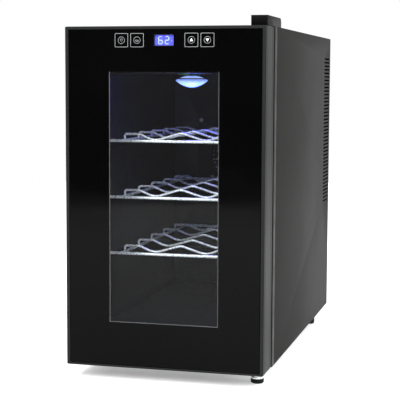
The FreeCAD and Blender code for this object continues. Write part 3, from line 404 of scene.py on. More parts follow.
MATERIALS = {
    "cabinet_paint": powder_coat("cabinet_paint", (0.0155, 0.0155, 0.015), 0.5, Specular_IOR_Level=0.02),
    "rear_paint": powder_coat("rear_paint", (0.028, 0.028, 0.029), 0.55),
    "door_paint": powder_coat("door_paint", (0.0125, 0.013, 0.013), 0.36, Specular_IOR_Level=0.022),
    "bezel_plastic": moulded("bezel_plastic", (0.028, 0.028, 0.028), 0.45, Specular_IOR_Level=0.035),
    "panel_plastic": moulded("panel_plastic", (0.008, 0.008, 0.0084), 0.45, Specular_IOR_Level=0.15),
    "liner_plastic": moulded("liner_plastic", (0.010, 0.010, 0.011), 0.42, 0.0012, Specular_IOR_Level=0.2),
    "hinge_plastic": moulded("hinge_plastic", (0.002, 0.002, 0.0021), 0.42, Specular_IOR_Level=0.035),
    "fan_plastic": moulded("fan_plastic", (0.014, 0.014, 0.015), 0.45),
    "inlet_plastic": moulded("inlet_plastic", (0.016, 0.016, 0.017), 0.5),
    "sensor_plastic": moulded("sensor_plastic", (0.55, 0.55, 0.53), 0.45),
    "nylon": moulded("nylon", (0.72, 0.71, 0.66), 0.4, 0.0008),
    "rubber": moulded("rubber", (0.004, 0.004, 0.004), 0.7, 0.0004, Specular_IOR_Level=0.2),
    "seal_rubber_and_gap_shade": moulded("seal_rubber_and_gap_shade", (0.004, 0.004, 0.004), 0.6, 0.0008, Specular_IOR_Level=0.08),
    "magnet": moulded("magnet", (0.05, 0.035, 0.03), 0.7),
    "standoff": moulded("standoff", (0.6, 0.6, 0.58), 0.5),
    "transformer": moulded("transformer", (0.35, 0.23, 0.03), 0.35),
    "ceramic": moulded("ceramic", (0.80, 0.80, 0.77), 0.5),
    "zinc": drawn_metal("zinc", (0.66, 0.67, 0.68), 0.3, (1, 0.05, 1)),
    "bright_steel": drawn_metal("bright_steel", (0.86, 0.88, 0.89), 0.28, (1, 1, 0.05)),
    "plain_steel": drawn_metal("plain_steel", (0.52, 0.53, 0.54), 0.35, (0.03, 1, 1)),
    "screw_steel": drawn_metal("screw_steel", (0.46, 0.46, 0.47), 0.3, (1, 1, 1)),
    "spring_steel": drawn_metal("spring_steel", (0.75, 0.75, 0.77), 0.2, (1, 0.05, 1)),
    "spacer": drawn_metal("spacer", (0.05, 0.05, 0.052), 0.4, (0.05, 1, 1)),
    "brass": drawn_metal("brass", (0.78, 0.62, 0.33), 0.25, (1, 0.05, 1)),
    "aluminium": ribbed_fins(),
    "chrome_wire": chrome_wire(),
    "black_print": black_print(),
    "window_front": clear_film("window_front", (0.86, 0.87, 0.88), 0.02, 1.12, 0.004),
    "window_back": clear_film("window_back", (0.94, 0.95, 0.96), 0.02, 1.05),
    "inner_pane": clear_film("inner_pane", (0.95, 0.96, 0.96), 0.02, 1.1),
    "legend": glowing("legend", (0.22, 0.225, 0.23), 0.04).material,
    "bright_legend": glowing("bright_legend", (0.7, 0.7, 0.7), 0.3).material,
    "window_line": moulded("window_line", (0.09, 0.09, 0.094), 0.45),
    "backlight": glowing("backlight", (0.07, 0.08, 0.72), 0.4).material,
    "digit": glowing("digit", (0.36, 0.44, 0.95), 0.7).material,
    "display_case": moulded("display_case", (0.02, 0.02, 0.022), 0.4),
    "lamp_lens": lamp_lens(),
    "lamp_seam": moulded("lamp_seam", (0.01, 0.012, 0.10), 0.4),
    "circuit_board": circuit_board(),
    "capacitor": sleeve("capacitor", (0.02, 0.03, 0.10), 5.0),
    "foam": foam(),
    "floor": floor_paint(),
}

# Each CAD node's material.
NODE_MATERIALS = {
    "cabinet_paint": ["cabinet_shell"],
    "rear_paint": ["rear_cover"],
    "door_paint": ["door_frame"],
    "bezel_plastic": ["front_bezel"],
    "panel_plastic": ["door_inner_panel"],
    "liner_plastic": ["inner_liner", "air_cover"],
    "hinge_plastic": ["hinge_cover"],
    "fan_plastic": ["hot_fan_frame", "cold_fan_frame", "hot_fan_rotor", "cold_fan_rotor"],
    "inlet_plastic": ["power_inlet"],
    "sensor_plastic": ["temperature_sensor"],
    "nylon": ["upper_door_bush", "lower_door_bush"],
    "rubber": ["rear_feet", "right_foot_pad", "left_foot_pad"],
    "seal_rubber_and_gap_shade": ["door_gasket"],
    "magnet": ["gasket_magnets"],
    "standoff": ["board_standoffs"],
    "transformer": ["transformer"],
    "ceramic": ["peltier_module"],
    "zinc": ["upper_hinge_bracket", "upper_hinge_pin", "lower_hinge_bracket", "lower_hinge_pin",
             "foot_nuts"],
    "bright_steel": ["right_foot_stud", "left_foot_stud"],
    "plain_steel": ["base_pan", "back_plate", "strike_frame"],
    "screw_steel": ["rear_cover_screws", "upper_hinge_screws", "lower_hinge_screws", "clamp_screws",
                    "hot_fan_screws", "cold_fan_screws", "air_cover_screws"],
    "spring_steel": ["touch_pads"],
    "spacer": ["glass_spacer"],
    "brass": ["inlet_blades"],
    "aluminium": ["cold_heat_sink", "cold_block", "hot_heat_sink"],
    "chrome_wire": ["lower_shelf", "middle_shelf", "upper_shelf"],
    "inner_pane": ["inner_glass"],
    "lamp_lens": ["lamp_lens"],
    "circuit_board": ["power_board", "control_board", "lamp_board"],
    "capacitor": ["capacitors"],
    "foam": ["cabinet_foam", "door_foam"],
    "display_case": ["display_module"],
    "black_print": ["front_glass"],
}
MATERIAL_OF = {node: key for key, members in NODE_MATERIALS.items() for node in members}
BODY_OF = {n: body for body, members in frame["record"]["behaviour"]["bodies"].items() for n in members}


# ---- Mesh tools -------------------------------------------------------------------------------
def shade(mesh):
    mesh.shade_smooth()
    mesh.set_sharp_from_angle(angle=SMOOTH_ANGLE)


def add_piece(name, bm, materials, node, stands_for=()):
    """Turns a bmesh into a piece that rides with a node's body and stands for the nodes named."""
    bmesh.ops.recalc_face_normals(bm, faces=bm.faces)
    mesh = bpy.data.meshes.new(name)
    bm.to_mesh(mesh)
    bm.free()
    shade(mesh)
    piece = bpy.data.objects.new(name, mesh)
    scene.collection.objects.link(piece)
    for key in materials:
        mesh.materials.append(MATERIALS[key])
    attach(piece, BODY_OF[node])
    if stands_for:
        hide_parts(*stands_for)
    return piece


def cad_mesh(node):
    """A welded copy of a CAD node's mesh, its triangles joined in pairs where they are flat."""
    bm = bmesh.new()
    bm.from_mesh(nodes[node].data)
    bmesh.ops.remove_doubles(bm, verts=bm.verts, dist=WELD)
    bmesh.ops.join_triangles(bm, faces=bm.faces, cmp_seam=False, cmp_sharp=False, cmp_uvs=False,
                             cmp_vcols=False, cmp_materials=False, angle_face_threshold=FLAT_ANGLE,
                             angle_shape_threshold=math.pi)
    return bm


def soften(node, width):
    """The CAD shape with its sharp edges rounded over, as moulded, folded and cast pieces have."""
    piece = add_piece(node + "_body", cad_mesh(node), [MATERIAL_OF[node]], node, [node])
    bevel = piece.modifiers.new("edges", "BEVEL")
    bevel.width = width
    bevel.segments = 2
    bevel.limit_method = "ANGLE"
    bevel.angle_limit = BEVEL_ANGLE
    bevel.use_clamp_overlap = True
    bevel.harden_normals = False
    bevel.miter_outer = "MITER_ARC"
    bpy.context.view_layer.update()
    done = bpy.data.meshes.new_from_object(piece.evaluated_get(bpy.context.evaluated_depsgraph_get()))
    piece.modifiers.clear()
    piece.data = done
    shade(done)
    return piece


def ring_points(half, low, high, radius, steps=5):
    """A rounded rectangle in the XZ plane, as (x, z) pairs, anticlockwise from the lower right."""
    radius = max(radius, 0.01 * MM)
    points = []
    corners = [(half - radius, low + radius, -90), (half - radius, high - radius, 0),
               (radius - half, high - radius, 90), (radius - half, low + radius, 180)]
    for x, z, start in corners:
        for i in range(steps + 1):
            angle = math.radians(start + 90 * i / steps)
            points.append((x + radius * math.cos(angle), z + radius * math.sin(angle)))
    return points


def sweep_frame(bm, lo, hi, profile, corner, closed=True):
    """Sweeps a profile round the rectangle lo to hi. A profile point is (side, top, bottom, y):
    how far it lies inside the rectangle's sides, top and bottom, and its depth."""
    half = (hi.x - lo.x) / 2
    rings = []
    for side, top, bottom, y in profile:
        points = ring_points(half - side, lo.z + bottom, hi.z - top, corner - side)
        rings.append([bm.verts.new((x, y, z)) for x, z in points])
    for a, b in zip(rings, rings[1:] + (rings[:1] if closed else [])):
        for i in range(len(a)):
            j = (i + 1) % len(a)
            bm.faces.new((a[i], a[j], b[j], b[i]))
    return rings


def even(inset, y):
    """A profile point that lies equally far inside all four sides."""
    return (inset, inset, inset, y)


def rounded_profile(points, radius, steps=3):
    """A closed outline of (u, v) points with each corner rounded."""
    done = []
    count = len(points)
    for i in range(count):
        before, here, after = (Vector(points[(i + k) % count]) for k in (-1, 0, 1))
        reach = min(radius, (before - here).length * 0.45, (after - here).length * 0.45)
        start = here + (before - here).normalized() * reach
        end = here + (after - here).normalized() * reach
        for k in range(steps + 1):
            t = k / steps
            done.append(start * (1 - t) ** 2 + here * 2 * t * (1 - t) + end * t ** 2)
    return done


def lathe(bm, outline, centre, axis=Z, steps=48):
    """Turns an outline of (radius, height) pairs about an axis through centre; ends on the axis."""
    turn = axis.to_track_quat("Z", "Y").to_matrix()
    rings = []
    for radius, height in outline:
        if radius < 1e-7:
            rings.append([bm.verts.new(centre + turn @ Vector((0, 0, height)))])
            continue
        rings.append([
            bm.verts.new(centre + turn @ Vector((radius * math.cos(a), radius * math.sin(a), height)))
            for a in (2 * math.pi * i / steps for i in range(steps))
        ])
    for a, b in zip(rings, rings[1:]):
        for i in range(steps):
            j = (i + 1) % steps
            if len(a) == 1 and len(b) == 1:
                continue
            if len(a) == 1:
                bm.faces.new((a[0], b[j], b[i]))
            elif len(b) == 1:
                bm.faces.new((a[i], a[j], b[0]))
            else:
                bm.faces.new((a[i], a[j], b[j], b[i]))


def solid_boxes(node):
    """The box of each separate solid of a node, from left to right, then front to back, then up."""
    bm = bmesh.new()
    bm.from_mesh(nodes[node].data)
    bmesh.ops.remove_doubles(bm, verts=bm.verts, dist=WELD)
    seen, boxes = set(), []
    for vert in bm.verts:
        if vert in seen:
            continue
        group, queue = [], [vert]
        seen.add(vert)
        while queue:
            v = queue.pop()
            group.append(v.co.copy())
            for edge in v.link_edges:
                other = edge.other_vert(v)
                if other not in seen:
                    seen.add(other)
                    queue.append(other)
        lo = Vector([min(p[k] for p in group) for k in range(3)])
        hi = Vector([max(p[k] for p in group) for k in range(3)])
        boxes.append((lo, hi))
    bm.free()
    return sorted(boxes, key=lambda b: tuple(round(v, 5) for v in b[0]))


def slab(bm, x0, x1, y0, y1, z0, z1, material=0):
    """A closed block added to a bmesh."""
    made = bmesh.ops.create_cube(bm, size=1)["verts"]
    for vert in made:
        vert.co = Vector((x0 + (vert.co.x + 0.5) * (x1 - x0), y0 + (vert.co.y + 0.5) * (y1 - y0),
                          z0 + (vert.co.z + 0.5) * (z1 - z0)))
    for face in {f for v in made for f in v.link_faces}:
        face.material_index = material


# ---- Door -------------------------------------------------------------------------------------
glass_lo, glass_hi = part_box("front_glass")
frame_lo, frame_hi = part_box("door_frame")
spacer_lo, spacer_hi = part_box("glass_spacer")
display_lo, display_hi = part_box("display_module")
PRINT_OVERLAP = 18.0 * MM
PRINT_FOOT = 1.2 * MM
window_lo = spacer_lo + Vector((PRINT_OVERLAP, 0, PRINT_OVERLAP + PRINT_FOOT))
window_hi = spacer_hi - Vector((PRINT_OVERLAP, 0, PRINT_OVERLAP))


def make_door_frame():
    """The painted frame: a narrow rolled rim round the glass and walls with fine long grooves."""
    side = glass_lo.x - frame_lo.x
    top = frame_hi.z - glass_hi.z
    bottom = glass_lo.z - frame_lo.z
    y0, y1 = frame_lo.y, frame_hi.y
    wall = 3.0 * MM
    flange = 6.0 * MM
    back = glass_hi.y + 2.0 * MM
    roll = 1.2 * MM
    rim_points = 5
    outline = []
    for i in range(rim_points + 1):
        angle = math.radians(90 * i / rim_points)
        inset = roll * (1 - math.sin(angle))
        outline.append(even(inset, y0 + roll * (1 - math.cos(angle))))
    groove, groove_depth = 0.5 * MM, 0.35 * MM
    groove_places = (5.0, 9.0, 38.0, 42.0)
    for place in groove_places:
        y = y0 + place * MM
        outline += [even(0, y - groove), even(groove_depth, y - groove / 2),
                    even(groove_depth, y + groove / 2), even(0, y + groove)]
    outline += [even(0, y1 - 0.6 * MM), even(0.6 * MM, y1), even(wall, y1), even(wall, back)]
    outline += [(side + flange, top + flange, bottom + flange, back),
                (side + flange, top + flange, bottom + flange, glass_hi.y),
                (side, top, bottom, glass_hi.y),
                (side, top, bottom, y0 + 0.5 * MM),
                (side - 0.5 * MM, top - 0.5 * MM, bottom - 0.5 * MM, y0)]
    bm = bmesh.new()
    sweep_frame(bm, frame_lo, frame_hi, outline, 1.6 * MM)
    add_piece("door_frame_body", bm, ["door_paint"], "door_frame", ["door_frame"])


def make_front_glass():
    """The pane with ground edges, black behind its border and clear at the window and display."""
    chamfer = 0.7 * MM
    proud = 0.05 * MM
    gap = 0.15 * MM
    y0, y1 = glass_lo.y + proud, glass_hi.y
    bm = bmesh.new()
    outline = [even(gap, y1), even(gap, y0 + chamfer), even(gap + chamfer, y0)]
    rings = sweep_frame(bm, glass_lo, glass_hi, outline, 2.5 * MM, closed=False)
    openings = [(window_lo, window_hi), (display_lo, display_hi)]
    bm.faces.new(rings[-1])
    bm.faces.new(rings[0])
    def lies_at(face, y):
        return abs(face.calc_center_median().y - y) < WELD

    for lo, hi in openings:
        for point, normal in ((lo, X), (hi, X), (lo, Z), (hi, Z)):
            flat = [f for f in bm.faces if lies_at(f, y0) or lies_at(f, y1)]
            geom = flat + list({e for f in flat for e in f.edges}) + list({v for f in flat for v in f.verts})
            bmesh.ops.bisect_plane(bm, geom=geom, plane_co=point, plane_no=normal)
    for face in bm.faces:
        c = face.calc_center_median()
        clear = any(lo.x < c.x < hi.x and lo.z < c.z < hi.z for lo, hi in openings)
        if clear and (lies_at(face, y0) or lies_at(face, y1)):
            face.material_index = 1 if lies_at(face, y0) else 2
    add_piece("front_glass_pane", bm, ["black_print", "window_front", "window_back"], "front_glass",
              ["front_glass"])


def make_window_line():
    """The pale line at the sides and foot of the window, on the back of the glass."""
    width = 0.9 * MM
    depth = 0.3 * MM
    y0, y1 = glass_lo.y + 1.0 * MM, glass_lo.y + 1.0 * MM + depth
    bm = bmesh.new()
    slab(bm, window_lo.x, window_lo.x + width, y0, y1, window_lo.z, window_hi.z)
    slab(bm, window_hi.x - width, window_hi.x, y0, y1, window_lo.z, window_hi.z)
    slab(bm, window_lo.x + width, window_hi.x - width, y0, y1, window_lo.z, window_lo.z + width)
    add_piece("window_line", bm, ["window_line"], "glass_spacer")


def ribbon(bm, points, width, y0, y1, closed=True):
    """A flat printed line of even width through (x, z) points, with a little thickness."""
    count = len(points)
    rows = []
    for i, point in enumerate(points):
        here = Vector(point)
        before = Vector(points[i - 1]) if closed or i else here
        after = Vector(points[(i + 1) % count]) if closed or i < count - 1 else here
        inward, outward = (here - before), (after - here)
        inward = inward.normalized() if inward.length else outward.normalized()
        outward = outward.normalized() if outward.length else inward
        run = (inward + outward).normalized()
        across = Vector((-run.y, run.x)) * (width / 2) / max(0.5, run.dot(inward))
        rows.append([bm.verts.new((p.x, y, p.y)) for y in (y0, y1)
                     for p in (here + across, here - across)])
    spans = range(count if closed else count - 1)
    for i in spans:
        a, b = rows[i], rows[(i + 1) % count]
        for p, q in ((0, 1), (1, 3), (3, 2), (2, 0)):
            bm.faces.new((a[p], a[q], b[q], b[p]))
    if not closed:
        for row in (rows[0], rows[-1]):
            bm.faces.new((row[0], row[1], row[3], row[2]))


def circle_points(centre, radius, start=0, sweep=360, steps=24):
    """Points on a circle or an arc in the XZ plane, as (x, z) pairs; angles in degrees."""
    full = sweep == 360
    count = steps if full else steps + 1
    return [(centre[0] + radius * math.cos(math.radians(start + sweep * i / steps)),
             centre[1] + radius * math.sin(math.radians(start + sweep * i / steps)))
            for i in range(count)]


def flat_shape(bm, points, y0, y1):
    """A filled flat shape through (x, z) points."""
    front = [bm.verts.new((x, y0, z)) for x, z in points]
    back = [bm.verts.new((x, y1, z)) for x, z in points]
    bm.faces.new(front)
    bm.faces.new(list(reversed(back)))
    for i in range(len(points)):
        j = (i + 1) % len(points)
        bm.faces.new((front[i], front[j], back[j], back[i]))


def make_legends():
    """The four touch keys: a rounded square round a circle with a generic sign in each. The signs
    are a broken ring with a stroke, a half circle, and an arrow up and down."""
    y0, y1 = glass_lo.y, glass_lo.y + 0.05 * MM
    half, corner, line = 8.1 * MM, 0.9 * MM, 0.45 * MM
    fine, circle, arm = 0.36 * MM, 4.1 * MM, 1.9 * MM
    shift = 0.8 * MM
    bm, arrows = bmesh.new(), bmesh.new()
    for i, (lo, hi) in enumerate(solid_boxes("touch_pads")):
        x, z = (lo.x + hi.x) / 2 + shift, (lo.z + hi.z) / 2
        square = [(x + px, z + pz) for px, pz in ring_points(half, -half, half, corner, 4)]
        ribbon(bm, square, line, y0, y1)
        ribbon(bm, circle_points((x, z), circle), fine, y0, y1)
        if i == 0:
            ribbon(bm, circle_points((x, z + 0.5 * MM), 1.3 * MM, -50, 280, 12), fine, y0, y1, False)
            ribbon(bm, [(x, z - 0.8 * MM), (x, z - 2.3 * MM)], fine, y0, y1, False)
        elif i == 1:
            ribbon(bm, [(x - arm, z), (x + arm, z)], fine, y0, y1, False)
            ribbon(bm, circle_points((x, z), arm, 180, 180, 8), fine, y0, y1, False)
        else:
            up = 1 if i == 2 else -1
            flat_shape(arrows, [(x - 2.0 * MM, z - up * 1.4 * MM), (x + 2.0 * MM, z - up * 1.4 * MM),
                                (x, z + up * 2.1 * MM)], y0, y1)
    add_piece("key_legends", bm, ["legend"], "front_glass")
    add_piece("key_arrows", arrows, ["bright_legend"], "front_glass")


def segment(bm, start, end, width, y0, y1):
    """One bar of a digit, pointed at both ends."""
    a, b = Vector(start), Vector(end)
    run = (b - a).normalized()
    across = Vector((-run.y, run.x)) * width / 2
    tip = run * width / 2
    points = [a, a + tip + across, b - tip + across, b, b - tip - across, a + tip - across]
    flat_shape(bm, [(p.x, p.y) for p in points], y0, y1)


def make_display():
    """The display: a lit blue face in a dark case, with two seven-bar digits and a point."""
    bm = bmesh.new()
    face_y = display_lo.y + 0.5 * MM
    rim = 0.8 * MM
    outline = [even(0, display_lo.y + 0.2 * MM), even(0, display_hi.y), even(rim, display_hi.y),
               even(rim, face_y), even(rim, display_lo.y + 0.2 * MM)]
    sweep_frame(bm, display_lo, display_hi, outline, 1.2 * MM)
    inner_lo, inner_hi = display_lo + Vector((rim, 0, rim)), display_hi - Vector((rim, 0, rim))
    slab(bm, inner_lo.x, inner_hi.x, face_y, display_hi.y, inner_lo.z, inner_hi.z, 1)
    add_piece("display_body", bm, ["display_case", "backlight"], "display_module", ["display_module"])
    bm = bmesh.new()
    y0, y1 = face_y - 0.15 * MM, face_y - 0.02 * MM
    wide, tall, bar, gap = 4.5 * MM, 8.8 * MM, 1.2 * MM, 0.12 * MM
    point_right, point_down, point_radius = 9.4 * MM, 0.7 * MM, 0.6 * MM
    middle = (display_lo + display_hi) / 2
    lit = {"6": "acdefg", "2": "abged"}
    places = {"6": middle.x - 5.0 * MM, "2": middle.x + 3.3 * MM}
    for digit, x in places.items():
        x0, x1 = x - wide / 2, x + wide / 2
        z0, z1, z2 = middle.z - tall / 2, middle.z, middle.z + tall / 2
        ends = {"a": ((x0, z2), (x1, z2)), "b": ((x1, z2), (x1, z1)), "c": ((x1, z1), (x1, z0)),
                "d": ((x0, z0), (x1, z0)), "e": ((x0, z0), (x0, z1)), "f": ((x0, z1), (x0, z2)),
                "g": ((x0, z1), (x1, z1))}
        for key in lit[digit]:
            start, end = (Vector(p) for p in ends[key])
            run = (end - start).normalized() * gap
            segment(bm, start + run, end - run, bar, y0, y1)
    point = (middle.x + point_right, middle.z - point_down)
    flat_shape(bm, circle_points(point, point_radius, steps=12), y0, y1)
    add_piece("display_digits", bm, ["digit"], "display_module")


def paint_gap_shade_on_seal_face():
    """The face of the bezel that the seal meets is given the black seal rubber as painted shade: the shade
    of the gap between door and cabinet.
    """
    mesh = bpy.data.objects["front_bezel_body"].data
    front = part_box("front_bezel")[0].y
    mesh.materials.append(MATERIALS["seal_rubber_and_gap_shade"])
    # Painted shade: the faces towards the door take the black rubber in place of the shade in the gap.
    for face in mesh.polygons:
        if face.normal.y < -0.5 and face.center.y < front + 0.4 * MM:
            face.material_index = 1


def make_gasket():
    """The seal: a foot, a soft bellows with two folds and a flat lip that meets the cabinet."""
    lo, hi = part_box("door_gasket")
    wide = 11.0 * MM
    deep = hi.y - lo.y
    section = [(0.0, 0.0), (0.0, 0.24), (0.1, 0.30), (0.1, 0.42), (0.0, 0.50), (0.0, 0.86), (0.08, 1.0),
               (0.92, 1.0), (1.0, 0.86), (1.0, 0.50), (0.9, 0.42), (0.9, 0.30), (1.0, 0.24), (1.0, 0.0),
               (0.78, 0.0), (0.76, 0.42), (0.24, 0.42), (0.22, 0.0)]
    outline = rounded_profile([(u * wide, lo.y + v * deep) for u, v in section], 0.25 * MM, 2)
    bm = bmesh.new()
    sweep_frame(bm, lo, hi, [even(p.x, p.y) for p in outline], 3 * MM)
    add_piece("door_gasket_seal", bm, ["seal_rubber_and_gap_shade"], "door_gasket", ["door_gasket"])


# ---- Feet and fasteners -----------------------------------------------------------------------
CUP_DEPTH = 3.2 * MM


def foot_mesh(lo, hi):
    """A rubber foot: a ring that it stands on and fine grip rings round its side."""
    radius = (hi.x - lo.x) / 2
    height = hi.z - lo.z
    centre = Vector(((lo.x + hi.x) / 2, (lo.y + hi.y) / 2, lo.z))
    outline = [(0, 0.4 * MM), (radius * 0.55, 0.4 * MM), (radius * 0.6, 0), (radius * 0.78, 0),
               (radius * 0.93, 0.8 * MM), (radius, 2.0 * MM)]
    for i in range(3):
        z = height * 0.35 + i * 1.6 * MM
        outline += [(radius, z - 0.5 * MM), (radius - 0.35 * MM, z - 0.2 * MM),
                    (radius - 0.35 * MM, z + 0.2 * MM), (radius, z + 0.5 * MM)]
    outline += [(radius, height - 1.0 * MM), (radius - 0.3 * MM, height - 0.3 * MM),
                (radius - 1.0 * MM, height), (0, height)]
    bm = bmesh.new()
    lathe(bm, outline, centre)
    return bm


def make_feet():
    """The rubber of all four feet; the front ones end under the steel cup of their stud."""
    for node in ("right_foot_pad", "left_foot_pad"):
        lo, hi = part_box(node)
        hi = Vector((hi.x, hi.y, hi.z - CUP_DEPTH))
        add_piece(node + "_rubber", foot_mesh(lo, hi), ["rubber"], node, [node])
    bm = bmesh.new()
    for lo, hi in solid_boxes("rear_feet"):
        part = foot_mesh(lo, hi)
        mesh = bpy.data.meshes.new("rear_foot")
        part.to_mesh(mesh)
        part.free()
        bm.from_mesh(mesh)
        bpy.data.meshes.remove(mesh)
    add_piece("rear_feet_rubber", bm, ["rubber"], "rear_feet", ["rear_feet"])


def make_studs():
    """The steel studs of the front feet: a bright cup over the rubber and a rolled thread."""
    radius, pitch, thread = 4.0 * MM, 1.25 * MM, 0.5 * MM
    for side in ("right", "left"):
        node = side + "_foot_stud"
        lo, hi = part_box(node)
        centre = Vector(((lo.x + hi.x) / 2, (lo.y + hi.y) / 2, 0))
        flange = (hi.x - lo.x) / 2
        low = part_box(side + "_foot_pad")[1].z - CUP_DEPTH
        high = low + 3.4 * MM
        outline = [(0, lo.z), (radius - 0.4 * MM, lo.z), (radius, lo.z + 0.4 * MM), (radius, low),
                   (flange - 0.3 * MM, low), (flange, low + 0.4 * MM), (flange, low + 2.0 * MM),
                   (flange - 0.5 * MM, high - 0.5 * MM), (flange - 1.6 * MM, high), (radius, high)]
        for i in range(int((hi.z - high) / pitch)):
            z = high + i * pitch
            outline += [(radius, z + 0.15 * MM), (radius - thread, z + pitch / 2),
                        (radius, z + pitch - 0.1 * MM)]
        outline += [(radius - thread, hi.z - 0.1 * MM), (0, hi.z)]
        bm = bmesh.new()
        lathe(bm, outline, centre, steps=64)
        add_piece(node + "_steel", bm, ["bright_steel"], node, [node])


def screw(bm, tip, head_top, head_radius, head_height, shank_radius):
    """A pan-head screw with a cross recess, from its tip to the top of its head."""
    axis = (head_top - tip).normalized()
    length = (head_top - tip).length
    under = length - head_height
    lathe(bm, [(0, 0), (shank_radius * 0.5, 0), (shank_radius, 0.8 * MM), (shank_radius, under),
               (head_radius, under), (head_radius, under + head_height * 0.4),
               (head_radius * 0.9, under + head_height * 0.8), (head_radius * 0.66, length),
               (head_radius * 0.5, length), (head_radius * 0.42, length - head_height * 0.45),
               (0, length - head_height * 0.6)], tip, axis, steps=32)


def make_screws(node, axis, head_at_high, head_height, head_radius, shank_radius):
    """Every screw of a node, each where its solid is, with its head at the high or the low end."""
    bm = bmesh.new()
    k = [X, Y, Z].index(axis)
    for lo, hi in solid_boxes(node):
        middle = (lo + hi) / 2
        low, high = middle.copy(), middle.copy()
        low[k], high[k] = lo[k], hi[k]
        tip, top = (low, high) if head_at_high else (high, low)
        screw(bm, tip, top, head_radius, head_height, shank_radius)
    add_piece(node + "_set", bm, ["screw_steel"], node, [node])


# ---- Fans -------------------------------------------------------------------------------------
fan_lo, fan_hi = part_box("hot_fan_frame")
fan_centre_z = (fan_lo.z + fan_hi.z) / 2


def make_rotor(node, hub, wall, reach):
    """The fan wheel: a domed cup and seven blades that twist and thin out towards their tips."""
    lo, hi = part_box(node)
    front, back = lo.y + 1.0 * MM, hi.y
    centre = Vector((0, 0, fan_centre_z))
    bm = bmesh.new()
    shaft = 1.5 * MM
    lathe(bm, [(0, lo.y), (shaft, lo.y), (shaft, back - wall), (hub - wall, back - wall),
               (hub - wall, front), (hub, front), (hub, back - 1.5 * MM), (hub - 0.5 * MM, back - 0.5 * MM),
               (hub - 1.5 * MM, back), (0, back)], centre, Y, 64)
    blades, along, across = 7, 10, 8
    chord = back - front
    for b in range(blades):
        start = 2 * math.pi * b / blades
        grids = []
        for side in (1, -1):
            rows = []
            for i in range(along + 1):
                t = i / along
                radius = hub - 0.4 * MM + (reach - hub) * t
                row = []
                for j in range(across + 1):
                    s = j / across
                    sweep = (0.62 + 0.25 * t) * (s - 0.5) * 2 * math.pi / blades + 0.35 * t * t
                    y = front + 0.06 * chord + (0.88 * chord) * (s + 0.10 * math.sin(math.pi * s) * (1 - s))
                    thick = (0.75 - 0.3 * t) * MM * math.sin(math.pi * s) ** 0.5 + 0.12 * MM
                    theta = start + sweep
                    y_side = min(back - 0.05 * MM, max(front + 0.05 * MM, y + side * thick / 2))
                    row.append(bm.verts.new((radius * math.cos(theta), y_side,
                                             fan_centre_z + radius * math.sin(theta))))
                rows.append(row)
            grids.append(rows)
        for rows in grids:
            for i in range(along):
                for j in range(across):
                    bm.faces.new((rows[i][j], rows[i + 1][j], rows[i + 1][j + 1], rows[i][j + 1]))
        a, c = grids
        for i in range(along):
            for j in (0, across):
                bm.faces.new((a[i][j], a[i + 1][j], c[i + 1][j], c[i][j]))
        for i in (0, along):
            for j in range(across):
                bm.faces.new((a[i][j], a[i][j + 1], c[i][j + 1], c[i][j]))
    add_piece(node + "_wheel", bm, ["fan_plastic"], node, [node])


# ---- Lamp -------------------------------------------------------------------------------------
def make_lamp_lens():
    """The frosted lens: two shallow bowls that meet in a thin rim, on a dark neck under the roof."""
    lo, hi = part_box("lamp_lens")
    centre = Vector(((lo.x + hi.x) / 2, (lo.y + hi.y) / 2, lo.z))
    rim, foot, middle, crown = (hi.x - lo.x) / 2, 0.8 * MM, 10.2 * MM, 16.4 * MM
    neck, steps = 4.5 * MM, 14
    below = [(rim * i / steps, middle - (middle - foot) * (1 - (i / steps) ** 2)) for i in range(steps + 1)]
    above = [(rim * i / steps, middle + (crown - middle) * (1 - (i / steps) ** 2)) for i in range(steps + 1)]
    bm = bmesh.new()
    lathe(bm, below + above[-2::-1], centre, steps=72)
    add_piece("lamp_lens_bowls", bm, ["lamp_lens"], "lamp_lens", ["lamp_lens"])
    bm = bmesh.new()
    top = hi.z - lo.z
    lathe(bm, [(0, crown - 0.5 * MM), (neck, crown - 0.5 * MM), (neck, top - 1.5 * MM),
               (neck + 1.0 * MM, top - 0.6 * MM), (neck + 1.0 * MM, top), (0, top)], centre, steps=48)
    add_piece("lamp_lens_neck", bm, ["liner_plastic"], "lamp_lens")
    bm = bmesh.new()
    seam = [(rim * share, middle + (crown - middle) * (1 - share ** 2)) for share in (0.76, 0.82, 0.88)]
    outer = [(radius + 0.15 * MM, height + 0.25 * MM) for radius, height in reversed(seam)]
    lathe(bm, seam + outer + seam[:1], centre, steps=72)
    add_piece("lamp_lens_seam", bm, ["lamp_seam"], "lamp_lens")


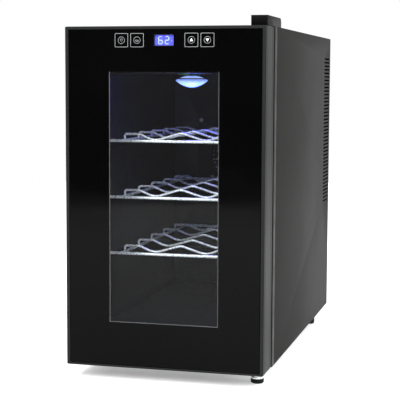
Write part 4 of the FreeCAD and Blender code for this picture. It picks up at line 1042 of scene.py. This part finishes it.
def make_lamp_light():
    """The light that the blue lamp throws into the cavity."""
    lo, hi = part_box("lamp_lens")
    light = bpy.data.lights.new("lamp_light", "POINT")
    light.energy = LAMP_POWER
    light.color = (0.10, 0.13, 1.0)
    light.shadow_soft_size = 12 * MM
    obj = bpy.data.objects.new("lamp_light", light)
    scene.collection.objects.link(obj)
    obj.location = ((lo.x + hi.x) / 2, (lo.y + hi.y) / 2, lo.z - 14 * MM)


# ---- Build ------------------------------------------------------------------------------------
for node, key in MATERIAL_OF.items():
    obj = nodes[node]
    obj.data.materials.clear()
    obj.data.materials.append(MATERIALS[key])
    shade(obj.data)

make_camera()
make_world()
make_lights()
make_floor()
make_lamp_light()
make_lamp_lens()

make_door_frame()
make_front_glass()
make_window_line()
make_legends()
make_display()
make_gasket()
make_feet()
make_studs()
make_rotor("hot_fan_rotor", 20 * MM, 1.8 * MM, 50 * MM)
make_rotor("cold_fan_rotor", 14 * MM, 1.8 * MM, 35.5 * MM)

# How wide the rounding of each softened node's edges is, in millimetres.
EDGES = {
    "hinge_cover": 0.9, "front_bezel": 0.5, "inner_liner": 0.6, "door_inner_panel": 0.5,
    "lower_hinge_bracket": 0.4, "upper_hinge_bracket": 0.4, "foot_nuts": 0.4, "power_inlet": 0.4,
    "temperature_sensor": 0.5, "transformer": 0.6, "capacitors": 0.8, "hot_fan_frame": 0.4,
    "cold_fan_frame": 0.3, "cabinet_shell": 0.25, "rear_cover": 0.2, "base_pan": 0.25,
}
for node, width in EDGES.items():
    soften(node, width * MM)
paint_gap_shade_on_seal_face()

# Axis, whether the head is at the axis's high end, head height, head radius and shank radius.
make_screws("rear_cover_screws", Y, True, 1.8 * MM, 3.6 * MM, 1.8 * MM)
make_screws("upper_hinge_screws", Z, True, 2.0 * MM, 3.8 * MM, 2.0 * MM)
make_screws("lower_hinge_screws", Z, False, 2.0 * MM, 3.8 * MM, 2.0 * MM)
make_screws("air_cover_screws", Y, False, 1.5 * MM, 3.0 * MM, 1.6 * MM)
make_screws("cold_fan_screws", Y, False, 1.6 * MM, 3.2 * MM, 1.7 * MM)
make_screws("hot_fan_screws", Y, True, 1.6 * MM, 3.2 * MM, 1.7 * MM)
make_screws("clamp_screws", Y, True, 3.0 * MM, 3.6 * MM, 2.0 * MM)
